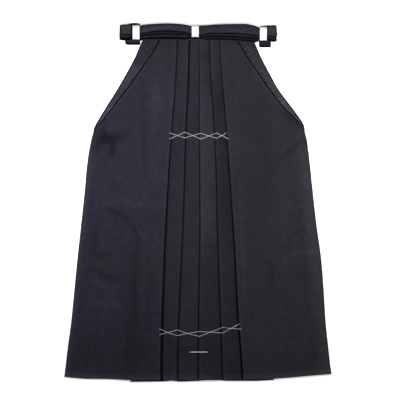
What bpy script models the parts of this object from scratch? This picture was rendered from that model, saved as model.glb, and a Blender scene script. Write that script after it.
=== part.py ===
"""Hakama trousers laid flat, seen from the front.

The garment lies on its back panels. X runs across it, Y runs up to the waist and Z is up.
Layers of cloth lie on each other, so heights are counted in levels: one wall and the gap above it.
"""

import math

import bmesh
import bpy
from mathutils import Vector

# Driving sizes in metres
MM = 0.001
CLOTH = 0.0010
GAP = 0.0003
LEVEL = CLOTH + GAP
FIRST_MIDDLE = CLOTH / 2
WAIST_Y = 0.43055
WAIST_TUCK = 0.026
PLEAT_SHARE = 0.60
FOLD_STEPS = 4
RAMP_STEPS = 4
FOLD_CLEAR = 0.0015
SHELF_REACH = 0.035
SHELF_SLOPE = 0.027
WAIST_FLAT = 0.030

# The most that each stretch of a front panel may take of the room beside the pleats
FLAT_ROOM = 0.40
SHELF_ROOM = 0.30
SLOPE_ROOM = 0.20
RISE_START = 0.20
LEAF_DEPTH = 0.018
LEAF_ROOM_SHARE = 0.18
LEAF_TIP_SHARE = 0.35
LEAF_TIP_BACK = 0.003
LEAF_COVER = 0.003
LEAF_END = 0.222
OPENING_END = 0.230
SEAM_SETTLED = 0.322
BACK_INSET = 0.004
BACK_INSET_END = 0.215
BACK_INSET_RUN = 0.043
PANEL_PARTS = 3
CROTCH_DOWN = 0.350
GUSSET_TOP = 0.300
GUSSET_HALF_TOP = 0.030
GUSSET_HALF_BOTTOM = 0.060
INNER_LEFT_HEM = -0.1825
INNER_RIGHT_HEM = 0.2040
INNER_CENTRE = 0.0030
INNER_CLEAR = 0.003

# Levels of the layers, counted from the surface that the garment lies on
BACK_LEVEL = 0
INNER_LEVEL = 1
LEAF_LOWER_LEVEL = 1
LEAF_UPPER_LEVEL = 2
PLEAT_LOW_LEVEL = 2
PLEAT_MIDDLE_LEVEL = 3
PLEAT_TOP_LEVEL = 4
OPENING_EDGE_LEVEL = 3
SEAM_EDGE_LEVEL = 1
BACK_BAND_LEVELS = (0, 2)
FRONT_BAND_LEVELS = (3, 8)
FRONT_LIFT = 3
BACK_LIFT = 1
FRONT_LIFT_END = 0.086
BACK_LIFT_END = 0.043

# One row for each section across the legs, in millimetres.
# down is the distance below the waistband. The other columns are places across the garment.
SECTION_COLUMNS = (
    "down", "left_side", "left_leaf",
    "fold_1", "fold_2", "fold_3", "fold_4", "fold_5",
    "right_leaf", "right_side",
)
SECTION_ROWS = (
    (-26, -144, -93, -55.5, -25.0, 1.5, 31.5, 58.0, 96, 144),
    (0, -152.0, -104, -56.1, -25.0, 2.1, 31.7, 58.8, 108, 151.2),
    (43, -169.7, -132, -57.4, -25.5, 3.2, 32.0, 60.7, 135, 170.1),
    (86, -193.0, -163, -59.9, -26.8, 4.0, 34.1, 64.1, 164, 192.9),
    (129, -218.1, -193, -63.1, -28.2, 4.0, 37.0, 67.9, 193, 217.2),
    (172, -244.8, -225, -66.0, -30.6, 4.0, 40.8, 71.7, 227, 249.4),
    (215, -273.9, -262, -69.8, -32.7, 3.8, 43.5, 75.4, 269, 281.5),
    (230, -280.3, -280.3, -70.9, -33.5, 3.8, 44.4, 76.5, 287.2, 287.2),
    (258, -285.4, -285.4, -73.0, -34.4, 4.3, 45.6, 78.4, 291.1, 291.1),
    (322, -296.7, -296.7, -77.6, -36.5, 5.4, 48.6, 83.2, 299.8, 299.8),
    (408, -304.9, -304.9, -82.9, -38.9, 5.9, 51.0, 89.4, 308.8, 308.8),
    (494, -314.2, -314.2, -87.8, -41.6, 6.2, 52.8, 95.3, 318.7, 318.7),
    (580, -323.4, -323.4, -92.3, -46.0, 5.4, 55.3, 100.9, 330.6, 330.6),
    (666, -332.0, -332.0, -95.3, -49.6, 3.8, 58.5, 104.9, 337.5, 337.5),
    (752, -340.5, -340.5, -98.5, -53.4, 2.7, 61.7, 109.8, 342.9, 342.9),
    (837, -351.8, -351.8, -100.1, -56.2, 1.6, 65.0, 117.0, 351.8, 351.8),
    (910, -359.5, -359.5, -100.4, -56.8, 1.9, 66.6, 121.3, 359.5, 359.5),
)

# The hems in millimetres: across, and down from the waistband
FRONT_HEM = (
    (-359.5, 898.6), (-327, 902.0), (-300, 904.0), (-240, 904.5), (-182.5, 907.5), (0, 907.2),
    (121, 905.5), (204, 903.7), (252, 900.2), (295, 896.2), (359.5, 891.0),
)
INNER_HEM = ((-182.5, 912.1), (0, 909.8), (121, 909.4), (204, 907.0))
BACK_HEM_INSET = 0.0006

# One row for each station along the folded straps, in millimetres.
# low and high are heights above the waistband's lower edge, thick is the height off the garment.
STRAP_COLUMNS = ("across", "low", "high", "thick")
STRAP_ROWS = (
    (-208, 5.5, 45.0, 11.0),
    (-200, 4.0, 46.2, 14.0),
    (-186, 4.4, 46.0, 14.5),
    (-177, 7.0, 43.8, 13.0),
    (-155, 7.0, 43.8, 13.0),
    (-146, 6.8, 45.6, 15.5),
    (-120, 6.5, 47.4, 18.0),
    (-85, 6.5, 48.8, 19.0),
    (-50, 6.5, 48.0, 18.0),
    (-28, 7.0, 45.4, 16.0),
    (-19, 12.0, 43.8, 13.5),
    (4, 12.0, 43.8, 13.5),
    (13, 6.8, 43.6, 16.0),
    (45, 5.8, 46.0, 18.0),
    (85, 4.4, 47.2, 18.5),
    (125, 2.4, 47.6, 18.0),
    (150, 0.0, 43.4, 15.5),
    (165, 4.0, 38.9, 13.0),
    (186, 4.0, 38.9, 13.0),
    (196, 0.8, 43.6, 14.5),
    (205, -0.2, 44.2, 14.0),
    (210, 2.0, 43.0, 11.0),
)
STRAP_REST = 0.0125
STRAP_SAG = 0.006
STRAP_SAG_START = 0.150
STRAP_SAG_RUN = 0.060
STRAP_WALL = 0.0012
STRAP_HEEL = 0.0010
CORE_ENDS = (-0.2005, 0.2005)
CORE_ROUND = 0.006
CORE_CORNER = 0.0012

# The layered lower edge of the fold, as shares of its width and its height: the edge and the ledge's height
LEDGES = ((0.00, 0.30), (0.16, 0.56), (0.32, 0.80))
LEDGE_SETBACK = 0.0004
LEDGE_SLOPE = 0.0003
LEDGE_STEP = 0.0010
FACE_START = 0.48
FACE_MIDDLE = 0.16

# The outer run's turn over the fold's top edge, in millimetres: in from the edge, and down
FACE_TURN = ((8.5, 0.0), (5.2, 0.7), (2.2, 2.8), (0.6, 5.6), (0.0, 7.8))

# The straps' turned ends across their width: share of the width, and how far the cloth drops in millimetres
LOOP_ROWS = ((0.0, 1.6), (0.08, 0.3), (0.3, 0.0), (0.7, 0.0), (0.92, 0.3), (1.0, 1.6))
LOOP_STEPS = 4
LOOP_TURN_STEPS = 8

# Paper bands: from, to, in millimetres
PAPER = 0.0005
PAPER_BEND = 0.005
PAPER_CORNER = 0.0010
PAPER_BANDS = {
    "paper_band_left": (-176, -156),
    "paper_band_centre": (-17.4, 2.7),
    "paper_band_right": (166, 185),
}

# Straps of the back band under the fold, in millimetres: across, low, high, middle height
BACK_STRAP_WALL = 0.0026
BACK_STRAP_PARTS = 2
BACK_STRAPS = {
    "back_strap_left": (
        (-199, 3.0, 20.0, 3.5),
        (-196, -4.0, 36.0, 3.7),
        (-192, -7.7, 46.5, 4.0),
        (-182, -8.2, 49.0, 4.1),
        (-170, -8.2, 51.0, 4.2),
        (-158, -8.2, 49.4, 4.2),
        (-155.8, -7.2, 48.4, 4.0),
        (-154.6, 9.0, 36.0, 3.4),
        (-151.5, 9.0, 28.0, 2.2),
        (-146.0, 9.0, 24.0, 1.9),
    ),
    "back_strap_right": (
        (146.0, 9.0, 24.0, 1.9),
        (151.5, 9.0, 28.0, 2.2),
        (163.0, 9.0, 36.0, 3.6),
        (165.0, -13.8, 39.5, 4.0),
        (168.0, -14.6, 42.6, 4.2),
        (193.0, -14.6, 44.1, 4.1),
        (196.0, -13.0, 36.0, 3.9),
    ),
}

# Ends of the bands and of the outer straps, left and right
BAND_ENDS = (-0.1500, 0.1505)
BACK_BAND_ENDS = (-0.1456, 0.1456)
FRONT_STRAP_ENDS = (-0.1765, 0.1855)
LOOP_LEFT = (-0.1770, -0.2098)
LOOP_RIGHT = (0.1862, 0.2120)
BAND_EDGE = 0.0045
BAND_ROOM = 0.0010
BAND_TURN_STEPS = 8

# Colour and roughness of each material
LOOKS = {
    "cloth": ((0.030, 0.030, 0.040), 0.85),
    "strap_cloth": ((0.032, 0.032, 0.043), 0.80),
    "paper": ((0.92, 0.92, 0.91), 0.75),
}


def clear_scene():
    """Remove whatever the opened file holds."""
    for item in list(bpy.data.objects):
        bpy.data.objects.remove(item, do_unlink=True)


def material(name):
    """A plain material with the piece's colour."""
    colour, roughness = LOOKS[name]
    made = bpy.data.materials.new(name)
    made.use_nodes = True
    shader = made.node_tree.nodes["Principled BSDF"]
    shader.inputs["Base Color"].default_value = (*colour, 1.0)
    shader.inputs["Roughness"].default_value = roughness
    shader.inputs["Metallic"].default_value = 0.0
    made.diffuse_color = (*colour, 1.0)
    return made


def middle(level):
    """The height of the middle of a wall that lies on the given level."""
    return FIRST_MIDDLE + level * LEVEL


def smooth(share):
    """A soft step from 0 to 1."""
    held = min(max(share, 0.0), 1.0)
    return held * held * (3.0 - 2.0 * held)


def blend(first, second, share):
    """A straight mix of two values."""
    return first + (second - first) * share


def sections():
    """The section rows as dictionaries in metres."""
    return [
        {name: value * MM for name, value in zip(SECTION_COLUMNS, row)}
        for row in SECTION_ROWS
    ]


def read_curve(points, across):
    """Read a line of (across, value) points in millimetres at a place in metres."""
    place = across / MM
    for (x0, v0), (x1, v1) in zip(points, points[1:]):
        if place <= x1:
            return blend(v0, v1, min(max((place - x0) / (x1 - x0), 0.0), 1.0)) * MM
    return points[-1][1] * MM


def front_lift(down):
    """How many levels the front layers rise towards the waist."""
    return FRONT_LIFT * (1.0 - smooth(down / FRONT_LIFT_END))


def back_lift(down):
    """How many levels the back panels rise towards the waist."""
    return BACK_LIFT * (1.0 - smooth(down / BACK_LIFT_END))


def fold_turn(edge, top_level, facing):
    """Points round a fold whose outer face reaches edge, from the upper level to the one below.

    facing is 1 for a fold that faces right and -1 for one that faces left.
    """
    radius = LEVEL / 2
    centre = edge - facing * (radius + CLOTH / 2)
    height = middle(top_level) - radius
    points = []
    for step in range(FOLD_STEPS + 1):
        angle = math.pi / 2 - math.pi * step / FOLD_STEPS
        points.append((centre + facing * radius * math.cos(angle), height + radius * math.sin(angle)))
    return points


def ramp(start, level_start, end, level_end):
    """Points of a soft slope between two levels."""
    points = []
    for step in range(RAMP_STEPS + 1):
        share = step / RAMP_STEPS
        level = blend(level_start, level_end, smooth(share))
        points.append((blend(start, end, share), middle(level)))
    return points


def offset_walls(path, half):
    """Move a path to both sides by half the wall, and return pairs of points."""
    pairs = []
    for index, point in enumerate(path):
        before = path[max(index - 1, 0)]
        after = path[min(index + 1, len(path) - 1)]
        incoming = Vector((point[0] - before[0], point[1] - before[1]))
        outgoing = Vector((after[0] - point[0], after[1] - point[1]))
        first = incoming.normalized() if incoming.length > 0 else outgoing.normalized()
        second = outgoing.normalized() if outgoing.length > 0 else first
        along = (first + second).normalized()
        stretch = half / max(along.dot(first), 0.5)
        normal = Vector((-along.y, along.x)) * stretch
        here = Vector(point)
        pairs.append((here + normal, here - normal))
    return pairs


def new_object(name, points, faces, look):
    """A closed mesh object with its faces turned out."""
    mesh = bpy.data.meshes.new(name)
    mesh.from_pydata(points, [], faces)
    editor = bmesh.new()
    editor.from_mesh(mesh)
    bmesh.ops.recalc_face_normals(editor, faces=editor.faces)
    editor.to_mesh(mesh)
    editor.free()
    mesh.materials.append(look)
    made = bpy.data.objects.new(name, mesh)
    bpy.context.scene.collection.objects.link(made)
    return made


def loft_wall(name, rows, look):
    """A wall through rows of point pairs, closed at its edges."""
    count = len(rows[0])
    points = [point for row in rows for pair in row for point in pair]

    def at(row, index, side):
        return (row * count + index) * 2 + side

    faces = []
    for row in range(len(rows) - 1):
        for index in range(count - 1):
            for side in (0, 1):
                faces.append((
                    at(row, index, side), at(row, index + 1, side),
                    at(row + 1, index + 1, side), at(row + 1, index, side),
                ))
        for index in (0, count - 1):
            faces.append((at(row, index, 0), at(row, index, 1), at(row + 1, index, 1), at(row + 1, index, 0)))
    for row in (0, len(rows) - 1):
        for index in range(count - 1):
            faces.append((at(row, index, 0), at(row, index + 1, 0), at(row, index + 1, 1), at(row, index, 1)))
    return new_object(name, points, faces, look)


def loft_solid(name, loops, look):
    """A solid through closed loops of points, with a face at each end."""
    count = len(loops[0])
    points = [point for loop in loops for point in loop]
    faces = [tuple(range(count)), tuple(range(len(points) - count, len(points)))]
    for row in range(len(loops) - 1):
        for index in range(count):
            following = (index + 1) % count
            faces.append((
                row * count + index, row * count + following,
                (row + 1) * count + following, (row + 1) * count + index,
            ))
    return new_object(name, points, faces, look)


def loft_ring(name, rows, look):
    """A closed band through rows of point pairs that run all the way round."""
    count = len(rows[0])
    points = [point for row in rows for pair in row for point in pair]

    def at(row, index, side):
        return (row * count + index % count) * 2 + side

    faces = []
    for row in range(len(rows) - 1):
        for index in range(count):
            for side in (0, 1):
                faces.append((
                    at(row, index, side), at(row, index + 1, side),
                    at(row + 1, index + 1, side), at(row + 1, index, side),
                ))
    for row in (0, len(rows) - 1):
        for index in range(count):
            faces.append((at(row, index, 0), at(row, index + 1, 0), at(row, index + 1, 1), at(row, index, 1)))
    return new_object(name, points, faces, look)


def inner_edge(side, down):
    """The outer edge of an inner leg layer at a place below the waist."""
    hem = INNER_LEFT_HEM if side < 0 else INNER_RIGHT_HEM
    crotch = side * GUSSET_HALF_BOTTOM
    share = (down - CROTCH_DOWN) / (INNER_HEM[0][1] * MM - CROTCH_DOWN)
    return blend(crotch, hem, min(max(share, 0.0), 1.0))


def edge_level(down):
    """The level of a front panel's outer edge: on the side pleat at the opening, on the back below it."""
    share = smooth((down - OPENING_END) / (SEAM_SETTLED - OPENING_END))
    return blend(OPENING_EDGE_LEVEL, SEAM_EDGE_LEVEL, share)


def panel_path(side, row, hidden):
    """The outer panel from its outer edge to just before its fold. side is -1 left and 1 right."""
    down = row["down"]
    edge = row["left_leaf"] if side < 0 else row["right_leaf"]
    level = edge_level(down)
    room = abs(edge - hidden) - FOLD_CLEAR
    flat_end = edge - side * min(LEAF_DEPTH + LEAF_COVER, room * FLAT_ROOM)
    shelf_end = hidden + side * min(SHELF_REACH, room * SHELF_ROOM)
    inner = inner_edge(side, down) + side * INNER_CLEAR
    if down > CROTCH_DOWN and side * inner > side * shelf_end:
        shelf_end = inner
    shelf_start = shelf_end + side * min(SHELF_SLOPE, room * SLOPE_ROOM)
    middle_level = PLEAT_LOW_LEVEL if down > WAIST_FLAT else OPENING_EDGE_LEVEL
    path = [(edge, middle(level)), (flat_end, middle(level))]
    path += ramp(shelf_start, min(level, middle_level), shelf_end, middle_level)
    rise_start = blend(shelf_end, hidden, RISE_START)
    path += ramp(rise_start, middle_level, hidden + side * FOLD_CLEAR, PLEAT_TOP_LEVEL)
    return path


def raise_path(path, down, lift):
    """Lift a path by whole or part levels."""
    return [(across, height + lift(down) * LEVEL) for across, height in path]


def front_left_path(row):
    """From the left edge over folds 1 and 2 to the hidden centre seam."""
    step = row["fold_2"] - row["fold_1"]
    hidden_1 = row["fold_1"] - PLEAT_SHARE * step
    hidden_2 = row["fold_2"] - PLEAT_SHARE * step
    seam = row["fold_3"] + PLEAT_SHARE * (row["fold_4"] - row["fold_3"])
    path = panel_path(-1, row, hidden_1)
    path += fold_turn(row["fold_1"], PLEAT_TOP_LEVEL, 1)
    path += fold_turn(hidden_1, PLEAT_MIDDLE_LEVEL, -1)
    path += ramp(row["fold_1"] + FOLD_CLEAR, PLEAT_LOW_LEVEL, hidden_2 - FOLD_CLEAR, PLEAT_TOP_LEVEL)
    path += fold_turn(row["fold_2"], PLEAT_TOP_LEVEL, 1)
    path += fold_turn(hidden_2, PLEAT_MIDDLE_LEVEL, -1)
    path.append((row["fold_3"] - FOLD_CLEAR, middle(PLEAT_LOW_LEVEL)))
    path.append((seam, middle(PLEAT_LOW_LEVEL)))
    return path


def front_right_path(row):
    """From the right edge over folds 5, 4 and 3 to the hidden centre seam."""
    step_5 = row["fold_5"] - row["fold_4"]
    step_4 = row["fold_4"] - row["fold_3"]
    hidden_5 = row["fold_5"] + PLEAT_SHARE * step_5
    hidden_4 = row["fold_4"] + PLEAT_SHARE * step_5
    hidden_3 = row["fold_3"] + PLEAT_SHARE * step_4
    path = panel_path(1, row, hidden_5)
    path += fold_turn(row["fold_5"], PLEAT_TOP_LEVEL, -1)
    path += fold_turn(hidden_5, PLEAT_MIDDLE_LEVEL, 1)
    path += ramp(row["fold_5"] - FOLD_CLEAR, PLEAT_LOW_LEVEL, hidden_4 + FOLD_CLEAR, PLEAT_TOP_LEVEL)
    path += fold_turn(row["fold_4"], PLEAT_TOP_LEVEL, -1)
    path += fold_turn(hidden_4, PLEAT_MIDDLE_LEVEL, 1)
    path += ramp(row["fold_4"] - FOLD_CLEAR, PLEAT_LOW_LEVEL, hidden_3 + FOLD_CLEAR, PLEAT_TOP_LEVEL)
    path += fold_turn(row["fold_3"], PLEAT_TOP_LEVEL, -1)
    path.append((hidden_3, middle(PLEAT_MIDDLE_LEVEL)))
    return path


def place_row(pairs, down, hem):
    """Put pairs of (across, height) at their place on the garment. hem gives the last row's places."""
    placed = []
    for pair in pairs:
        across = (pair[0].x + pair[1].x) / 2
        reach = read_curve(hem, across) if hem else down
        placed.append(tuple(Vector((p.x, WAIST_Y - reach, p.y)) for p in pair))
    return placed


def build_front(name, path_of, look):
    """A front panel with its pleats."""
    rows = sections()
    placed = []
    for row in rows:
        path = raise_path(path_of(row), row["down"], front_lift)
        hem = FRONT_HEM if row is rows[-1] else None
        placed.append(place_row(offset_walls(path, CLOTH / 2), row["down"], hem))
    return loft_wall(name, placed, look)


def between_sections(down):
    """The section values at any place below the waist."""
    rows = sections()
    for first, second in zip(rows, rows[1:]):
        if down <= second["down"]:
            share = (down - first["down"]) / (second["down"] - first["down"])
            return {key: blend(first[key], second[key], share) for key in first}
    return rows[-1]


def leaf_depth(side, row):
    """How far the side pleat's fold reaches in under the front panel: least at its tip and at the waist."""
    taper = blend(1.0, LEAF_TIP_SHARE, max(row["down"], 0.0) / LEAF_END)
    leaf = row["left_leaf"] if side < 0 else row["right_leaf"]
    fold = row["fold_1"] if side < 0 else row["fold_5"]
    return min(LEAF_DEPTH * taper, LEAF_ROOM_SHARE * abs(leaf - fold))


def build_side_pleat(name, side, look):
    """The leaf-shaped pleat beside the opening: a hairpin fold whose lower run shows."""
    downs = [row["down"] for row in sections() if row["down"] < LEAF_END] + [LEAF_END]
    placed = []
    for down in downs:
        row = between_sections(down - LEAF_TIP_BACK if down == LEAF_END else down)
        leaf = row["left_leaf"] if side < 0 else row["right_leaf"]
        outer = row["left_side"] if side < 0 else row["right_side"]
        path = [(leaf - side * GAP, middle(LEAF_UPPER_LEVEL))]
        path += fold_turn(leaf - side * leaf_depth(side, row), LEAF_UPPER_LEVEL, -side)
        path.append((leaf, middle(LEAF_LOWER_LEVEL)))
        path.append((outer, middle(LEAF_LOWER_LEVEL)))
        path = raise_path(path, down, front_lift)
        placed.append(place_row(offset_walls(path, CLOTH / 2), down, None))
    return loft_wall(name, placed, look)


def flat_path(start, end, level):
    """A straight run across the garment on one level."""
    return [(blend(start, end, part / PANEL_PARTS), middle(level)) for part in range(PANEL_PARTS + 1)]


def build_back(name, side, look):
    """A back leg panel, flat on the surface, from the centre seam to the side."""
    rows = sections()
    placed = []
    for row in rows:
        down = row["down"]
        edge = row["left_side"] if side < 0 else row["right_side"]
        inset = BACK_INSET * (1.0 - smooth((down - BACK_INSET_END) / BACK_INSET_RUN))
        outer = edge - side * inset
        centre = side * GAP / 2
        path = raise_path(flat_path(outer, centre, BACK_LEVEL), down, back_lift)
        pairs = offset_walls(path, CLOTH / 2)
        hem = None
        if row is rows[-1]:
            hem = [(across, value - BACK_HEM_INSET / MM) for across, value in FRONT_HEM]
        placed.append(place_row(pairs, down, hem))
    return loft_wall(name, placed, look)


def build_inner_leg(name, side, look):
    """The inner side of a leg, between front and back, a little longer than they are."""
    downs = [CROTCH_DOWN + GAP] + [row["down"] for row in sections() if row["down"] > CROTCH_DOWN]
    placed = []
    for down in downs:
        outer = inner_edge(side, down)
        centre = INNER_CENTRE - GAP if side < 0 else INNER_CENTRE
        path = flat_path(outer, centre, INNER_LEVEL)
        hem = INNER_HEM if down == downs[-1] else None
        placed.append(place_row(offset_walls(path, CLOTH / 2), down, hem))
    return loft_wall(name, placed, look)


def build_gusset(look):
    """The gusset between the legs."""
    placed = []
    for down, half in ((GUSSET_TOP, GUSSET_HALF_TOP), (CROTCH_DOWN, GUSSET_HALF_BOTTOM)):
        path = [(-half, middle(INNER_LEVEL)), (0.0, middle(INNER_LEVEL)), (half, middle(INNER_LEVEL))]
        placed.append(place_row(offset_walls(path, CLOTH / 2), down, None))
    return loft_wall("crotch_gusset", placed, look)


def build_band(name, ends, levels, look):
    """A waistband folded over the top edge of the panels: lower run, fold, upper run."""
    low = middle(levels[0])
    high = middle(levels[1])
    radius = (high - low) / 2
    top = WAIST_TUCK + BAND_ROOM
    path = [(BAND_EDGE, high), (top / 2, high)]
    for step in range(BAND_TURN_STEPS + 1):
        angle = math.pi / 2 - math.pi * step / BAND_TURN_STEPS
        path.append((top + radius * math.cos(angle), low + radius + radius * math.sin(angle)))
    path.append((top / 2, low))
    path.append((BAND_EDGE, low))
    rows = []
    for across in ends:
        rows.append([
            tuple(Vector((across, WAIST_Y + p.x, p.y)) for p in pair)
            for pair in offset_walls(path, CLOTH / 2)
        ])
    return loft_wall(name, rows, look)


def strap_stations():
    """The stations of the folded straps as dictionaries in metres."""
    return [
        {name: value * MM for name, value in zip(STRAP_COLUMNS, row)}
        for row in STRAP_ROWS
    ]


def strap_at(across):
    """The fold's sizes at any place along it."""
    rows = strap_stations()
    held = min(max(across, rows[0]["across"]), rows[-1]["across"])
    for first, second in zip(rows, rows[1:]):
        if held <= second["across"]:
            share = (held - first["across"]) / (second["across"] - first["across"])
            made = {key: blend(first[key], second[key], smooth(share)) for key in first}
            made["across"] = held
            return made
    return rows[-1]


def strap_rest(across):
    """The height of the fold's underside: its free ends sag."""
    return STRAP_REST - STRAP_SAG * smooth((abs(across) - STRAP_SAG_START) / STRAP_SAG_RUN)


def rounded(corners, radius):
    """Cut each corner of a closed outline by an arc of two chords."""
    points = []
    count = len(corners)
    for index in range(count):
        here = Vector(corners[index])
        before = Vector(corners[index - 1]) - here
        after = Vector(corners[(index + 1) % count]) - here
        cut = min(radius, before.length * 0.45, after.length * 0.45)
        start = here + before.normalized() * cut
        end = here + after.normalized() * cut
        points += [start, here * 0.5 + (start + end) * 0.25, end]
    return points


def build_strap_core(look):
    """The hidden layers of the straps as one rounded solid, layered at its lower edge."""
    loops = []
    inset = STRAP_WALL + GAP
    for row in strap_stations():
        if not CORE_ENDS[0] <= row["across"] <= CORE_ENDS[1]:
            continue
        base = strap_rest(row["across"])
        low, high, thick = row["low"], row["high"], row["thick"]
        corners = [(low, base)]
        for (share, rise), (next_share, _) in zip(LEDGES, LEDGES[1:] + ((FACE_START, 1.0),)):
            ledge = base + thick * rise
            ledge_end = blend(low, high, next_share) - LEDGE_SETBACK
            corners.append((blend(low, high, share), ledge))
            corners.append((ledge_end, ledge + LEDGE_SLOPE))
            if next_share < FACE_START:
                corners.append((ledge_end, ledge + LEDGE_STEP))
        face = base + thick - inset
        corners.append((blend(low, high, FACE_START), face))
        corners.append((high - inset - CORE_ROUND, face))
        corners.append((high - inset, face - CORE_ROUND))
        corners.append((high - inset, base))
        loops.append([
            Vector((row["across"], WAIST_Y + p.x, p.y)) for p in rounded(corners, CORE_CORNER)
        ])
    return loft_solid("strap_core", loops, look)


def build_front_strap(name, start, end, look):
    """The outer run of the strap over the upper half of the fold."""
    stops = [start] + [
        row["across"] for row in strap_stations() if start + MM < row["across"] < end - MM
    ] + [end]
    rows = []
    for across in stops:
        row = strap_at(across)
        base = strap_rest(across)
        top = base + row["thick"] - STRAP_WALL / 2
        outer = row["high"] - STRAP_WALL / 2
        path = [
            (blend(row["low"], row["high"], share), top) for share in (FACE_START, FACE_START + FACE_MIDDLE)
        ]
        path += [(outer - inward * MM, top - drop * MM) for inward, drop in FACE_TURN]
        path.append((outer, base + STRAP_HEEL))
        rows.append([
            tuple(Vector((across, WAIST_Y + p.x, p.y)) for p in pair)
            for pair in offset_walls(path, STRAP_WALL / 2)
        ])
    return loft_wall(name, rows, look)


def build_loop(name, ends, look):
    """The turned end of the straps: a wall that runs out over the core, round its end and back under."""
    inner, outer = ends
    facing = 1 if outer > inner else -1
    stops = [blend(inner, outer, step / LOOP_STEPS) for step in range(LOOP_STEPS)]
    rows = []
    for share, drop in LOOP_ROWS:
        path = []
        for across in stops:
            row = strap_at(across)
            path.append((across, strap_rest(across) + row["thick"] + GAP + STRAP_WALL / 2 - drop * MM))
        high = path[-1][1]
        low = strap_rest(outer) - GAP - STRAP_WALL / 2
        radius = (high - low) / 2
        reach = abs(outer - stops[-1])
        for step in range(1, LOOP_TURN_STEPS):
            angle = math.pi / 2 - math.pi * step / LOOP_TURN_STEPS
            path.append((
                stops[-1] + facing * reach * math.cos(angle),
                low + radius + radius * math.sin(angle),
            ))
        for across in reversed(stops):
            path.append((across, strap_rest(across) - GAP - STRAP_WALL / 2))
        pairs = offset_walls(path, STRAP_WALL / 2)
        placed = []
        for pair in pairs:
            row = strap_at((pair[0].x + pair[1].x) / 2)
            up = blend(row["low"], row["high"], share)
            placed.append(tuple(Vector((p.x, WAIST_Y + up, p.y)) for p in pair))
        rows.append(placed)
    return loft_wall(name, rows, look)


def build_paper_band(name, look):
    """A paper band drawn tight round the folded straps."""
    start, end = PAPER_BANDS[name]
    rows = []
    for across in (start * MM, end * MM):
        row = strap_at(across)
        base = strap_rest(across)
        face = blend(row["low"], row["high"], FACE_START)
        outlines = []
        for grow in (GAP, GAP + PAPER):
            corners = [
                (row["low"] - grow, base - grow),
                (row["low"] - grow, base + row["thick"] * LEDGES[0][1] + grow),
                (face - grow, base + row["thick"] + grow),
                (row["high"] - PAPER_BEND, base + row["thick"] + grow),
                (row["high"] + grow, base + row["thick"] - PAPER_BEND),
                (row["high"] + grow, base - grow),
            ]
            outlines.append(rounded(corners, PAPER_CORNER))
        rows.append([
            tuple(Vector((across, WAIST_Y + p.x, p.y)) for p in pair)
            for pair in zip(*outlines)
        ])
    return loft_ring(name, rows, look)


def build_back_strap(name, look):
    """A strap of the back band, doubled, flat under the fold."""
    rows = []
    for across, low, high, height in BACK_STRAPS[name]:
        pairs = []
        for part in range(BACK_STRAP_PARTS + 1):
            up = blend(low, high, part / BACK_STRAP_PARTS) * MM
            pairs.append(tuple(
                Vector((across * MM, WAIST_Y + up, height * MM + side * BACK_STRAP_WALL / 2))
                for side in (1, -1)
            ))
        rows.append(pairs)
    return loft_wall(name, rows, look)


def build():
    """Make every piece of the garment."""
    clear_scene()
    cloth, strap, paper = (material(name) for name in LOOKS)
    build_back("back_left", -1, cloth)
    build_back("back_right", 1, cloth)
    build_band("back_waistband", BACK_BAND_ENDS, BACK_BAND_LEVELS, cloth)
    build_inner_leg("inner_leg_left", -1, cloth)
    build_inner_leg("inner_leg_right", 1, cloth)
    build_gusset(cloth)
    build_front("front_left", front_left_path, cloth)
    build_front("front_right", front_right_path, cloth)
    build_side_pleat("side_pleat_left", -1, cloth)
    build_side_pleat("side_pleat_right", 1, cloth)
    build_band("front_waistband", BAND_ENDS, FRONT_BAND_LEVELS, cloth)
    build_strap_core(strap)
    middle_of_fold = sum(PAPER_BANDS["paper_band_centre"]) / 2 * MM
    build_front_strap("front_strap_left", FRONT_STRAP_ENDS[0], middle_of_fold - GAP / 2, strap)
    build_front_strap("front_strap_right", middle_of_fold + GAP / 2, FRONT_STRAP_ENDS[1], strap)
    build_loop("strap_loop_left", LOOP_LEFT, strap)
    build_loop("strap_loop_right", LOOP_RIGHT, strap)
    for name in BACK_STRAPS:
        build_back_strap(name, strap)
    for name in PAPER_BANDS:
        build_paper_band(name, paper)


build()
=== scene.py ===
"""Looks of hakama trousers laid flat: thin cloth shells, straps, paper bands and basting threads.

Every shell lies on its solid's form. Lengths are in metres unless a table says millimetres.
"""

import math

import bmesh
import bpy
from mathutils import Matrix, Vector, noise
from mathutils.bvhtree import BVHTree


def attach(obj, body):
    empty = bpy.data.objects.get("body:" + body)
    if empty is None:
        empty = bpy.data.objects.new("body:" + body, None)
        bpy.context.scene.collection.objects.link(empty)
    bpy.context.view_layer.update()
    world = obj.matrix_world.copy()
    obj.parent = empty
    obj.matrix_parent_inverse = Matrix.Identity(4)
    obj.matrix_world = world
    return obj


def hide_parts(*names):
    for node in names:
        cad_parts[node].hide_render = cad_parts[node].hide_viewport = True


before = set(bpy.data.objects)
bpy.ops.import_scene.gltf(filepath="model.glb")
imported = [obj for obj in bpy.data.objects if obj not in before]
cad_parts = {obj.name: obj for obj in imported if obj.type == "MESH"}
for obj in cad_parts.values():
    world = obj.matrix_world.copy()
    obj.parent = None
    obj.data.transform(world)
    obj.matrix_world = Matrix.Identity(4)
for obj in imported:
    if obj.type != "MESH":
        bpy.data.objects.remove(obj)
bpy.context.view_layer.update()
BODY = "root"
SLOTS = {
    "cloth_plain": "cloth", "cloth_turned_left": "cloth", "cloth_turned_right": "cloth",
    "cloth_straps": "strap_cloth", "white_paper": "paper",
}

# Sizes shared with the solids
MM = 0.001
WALL = 0.0010
GAP = 0.0003
LEVEL = WALL + GAP
SHELL = 0.0008
WAIST_Y = 0.43055
WAIST_TUCK = 0.026
PLEAT_SHARE = 0.60
FOLD_CLEAR = 0.0015
LEAF_DEPTH = 0.018
LEAF_ROOM_SHARE = 0.18
LEAF_END = 0.2255
OPENING_END = 0.230
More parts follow.
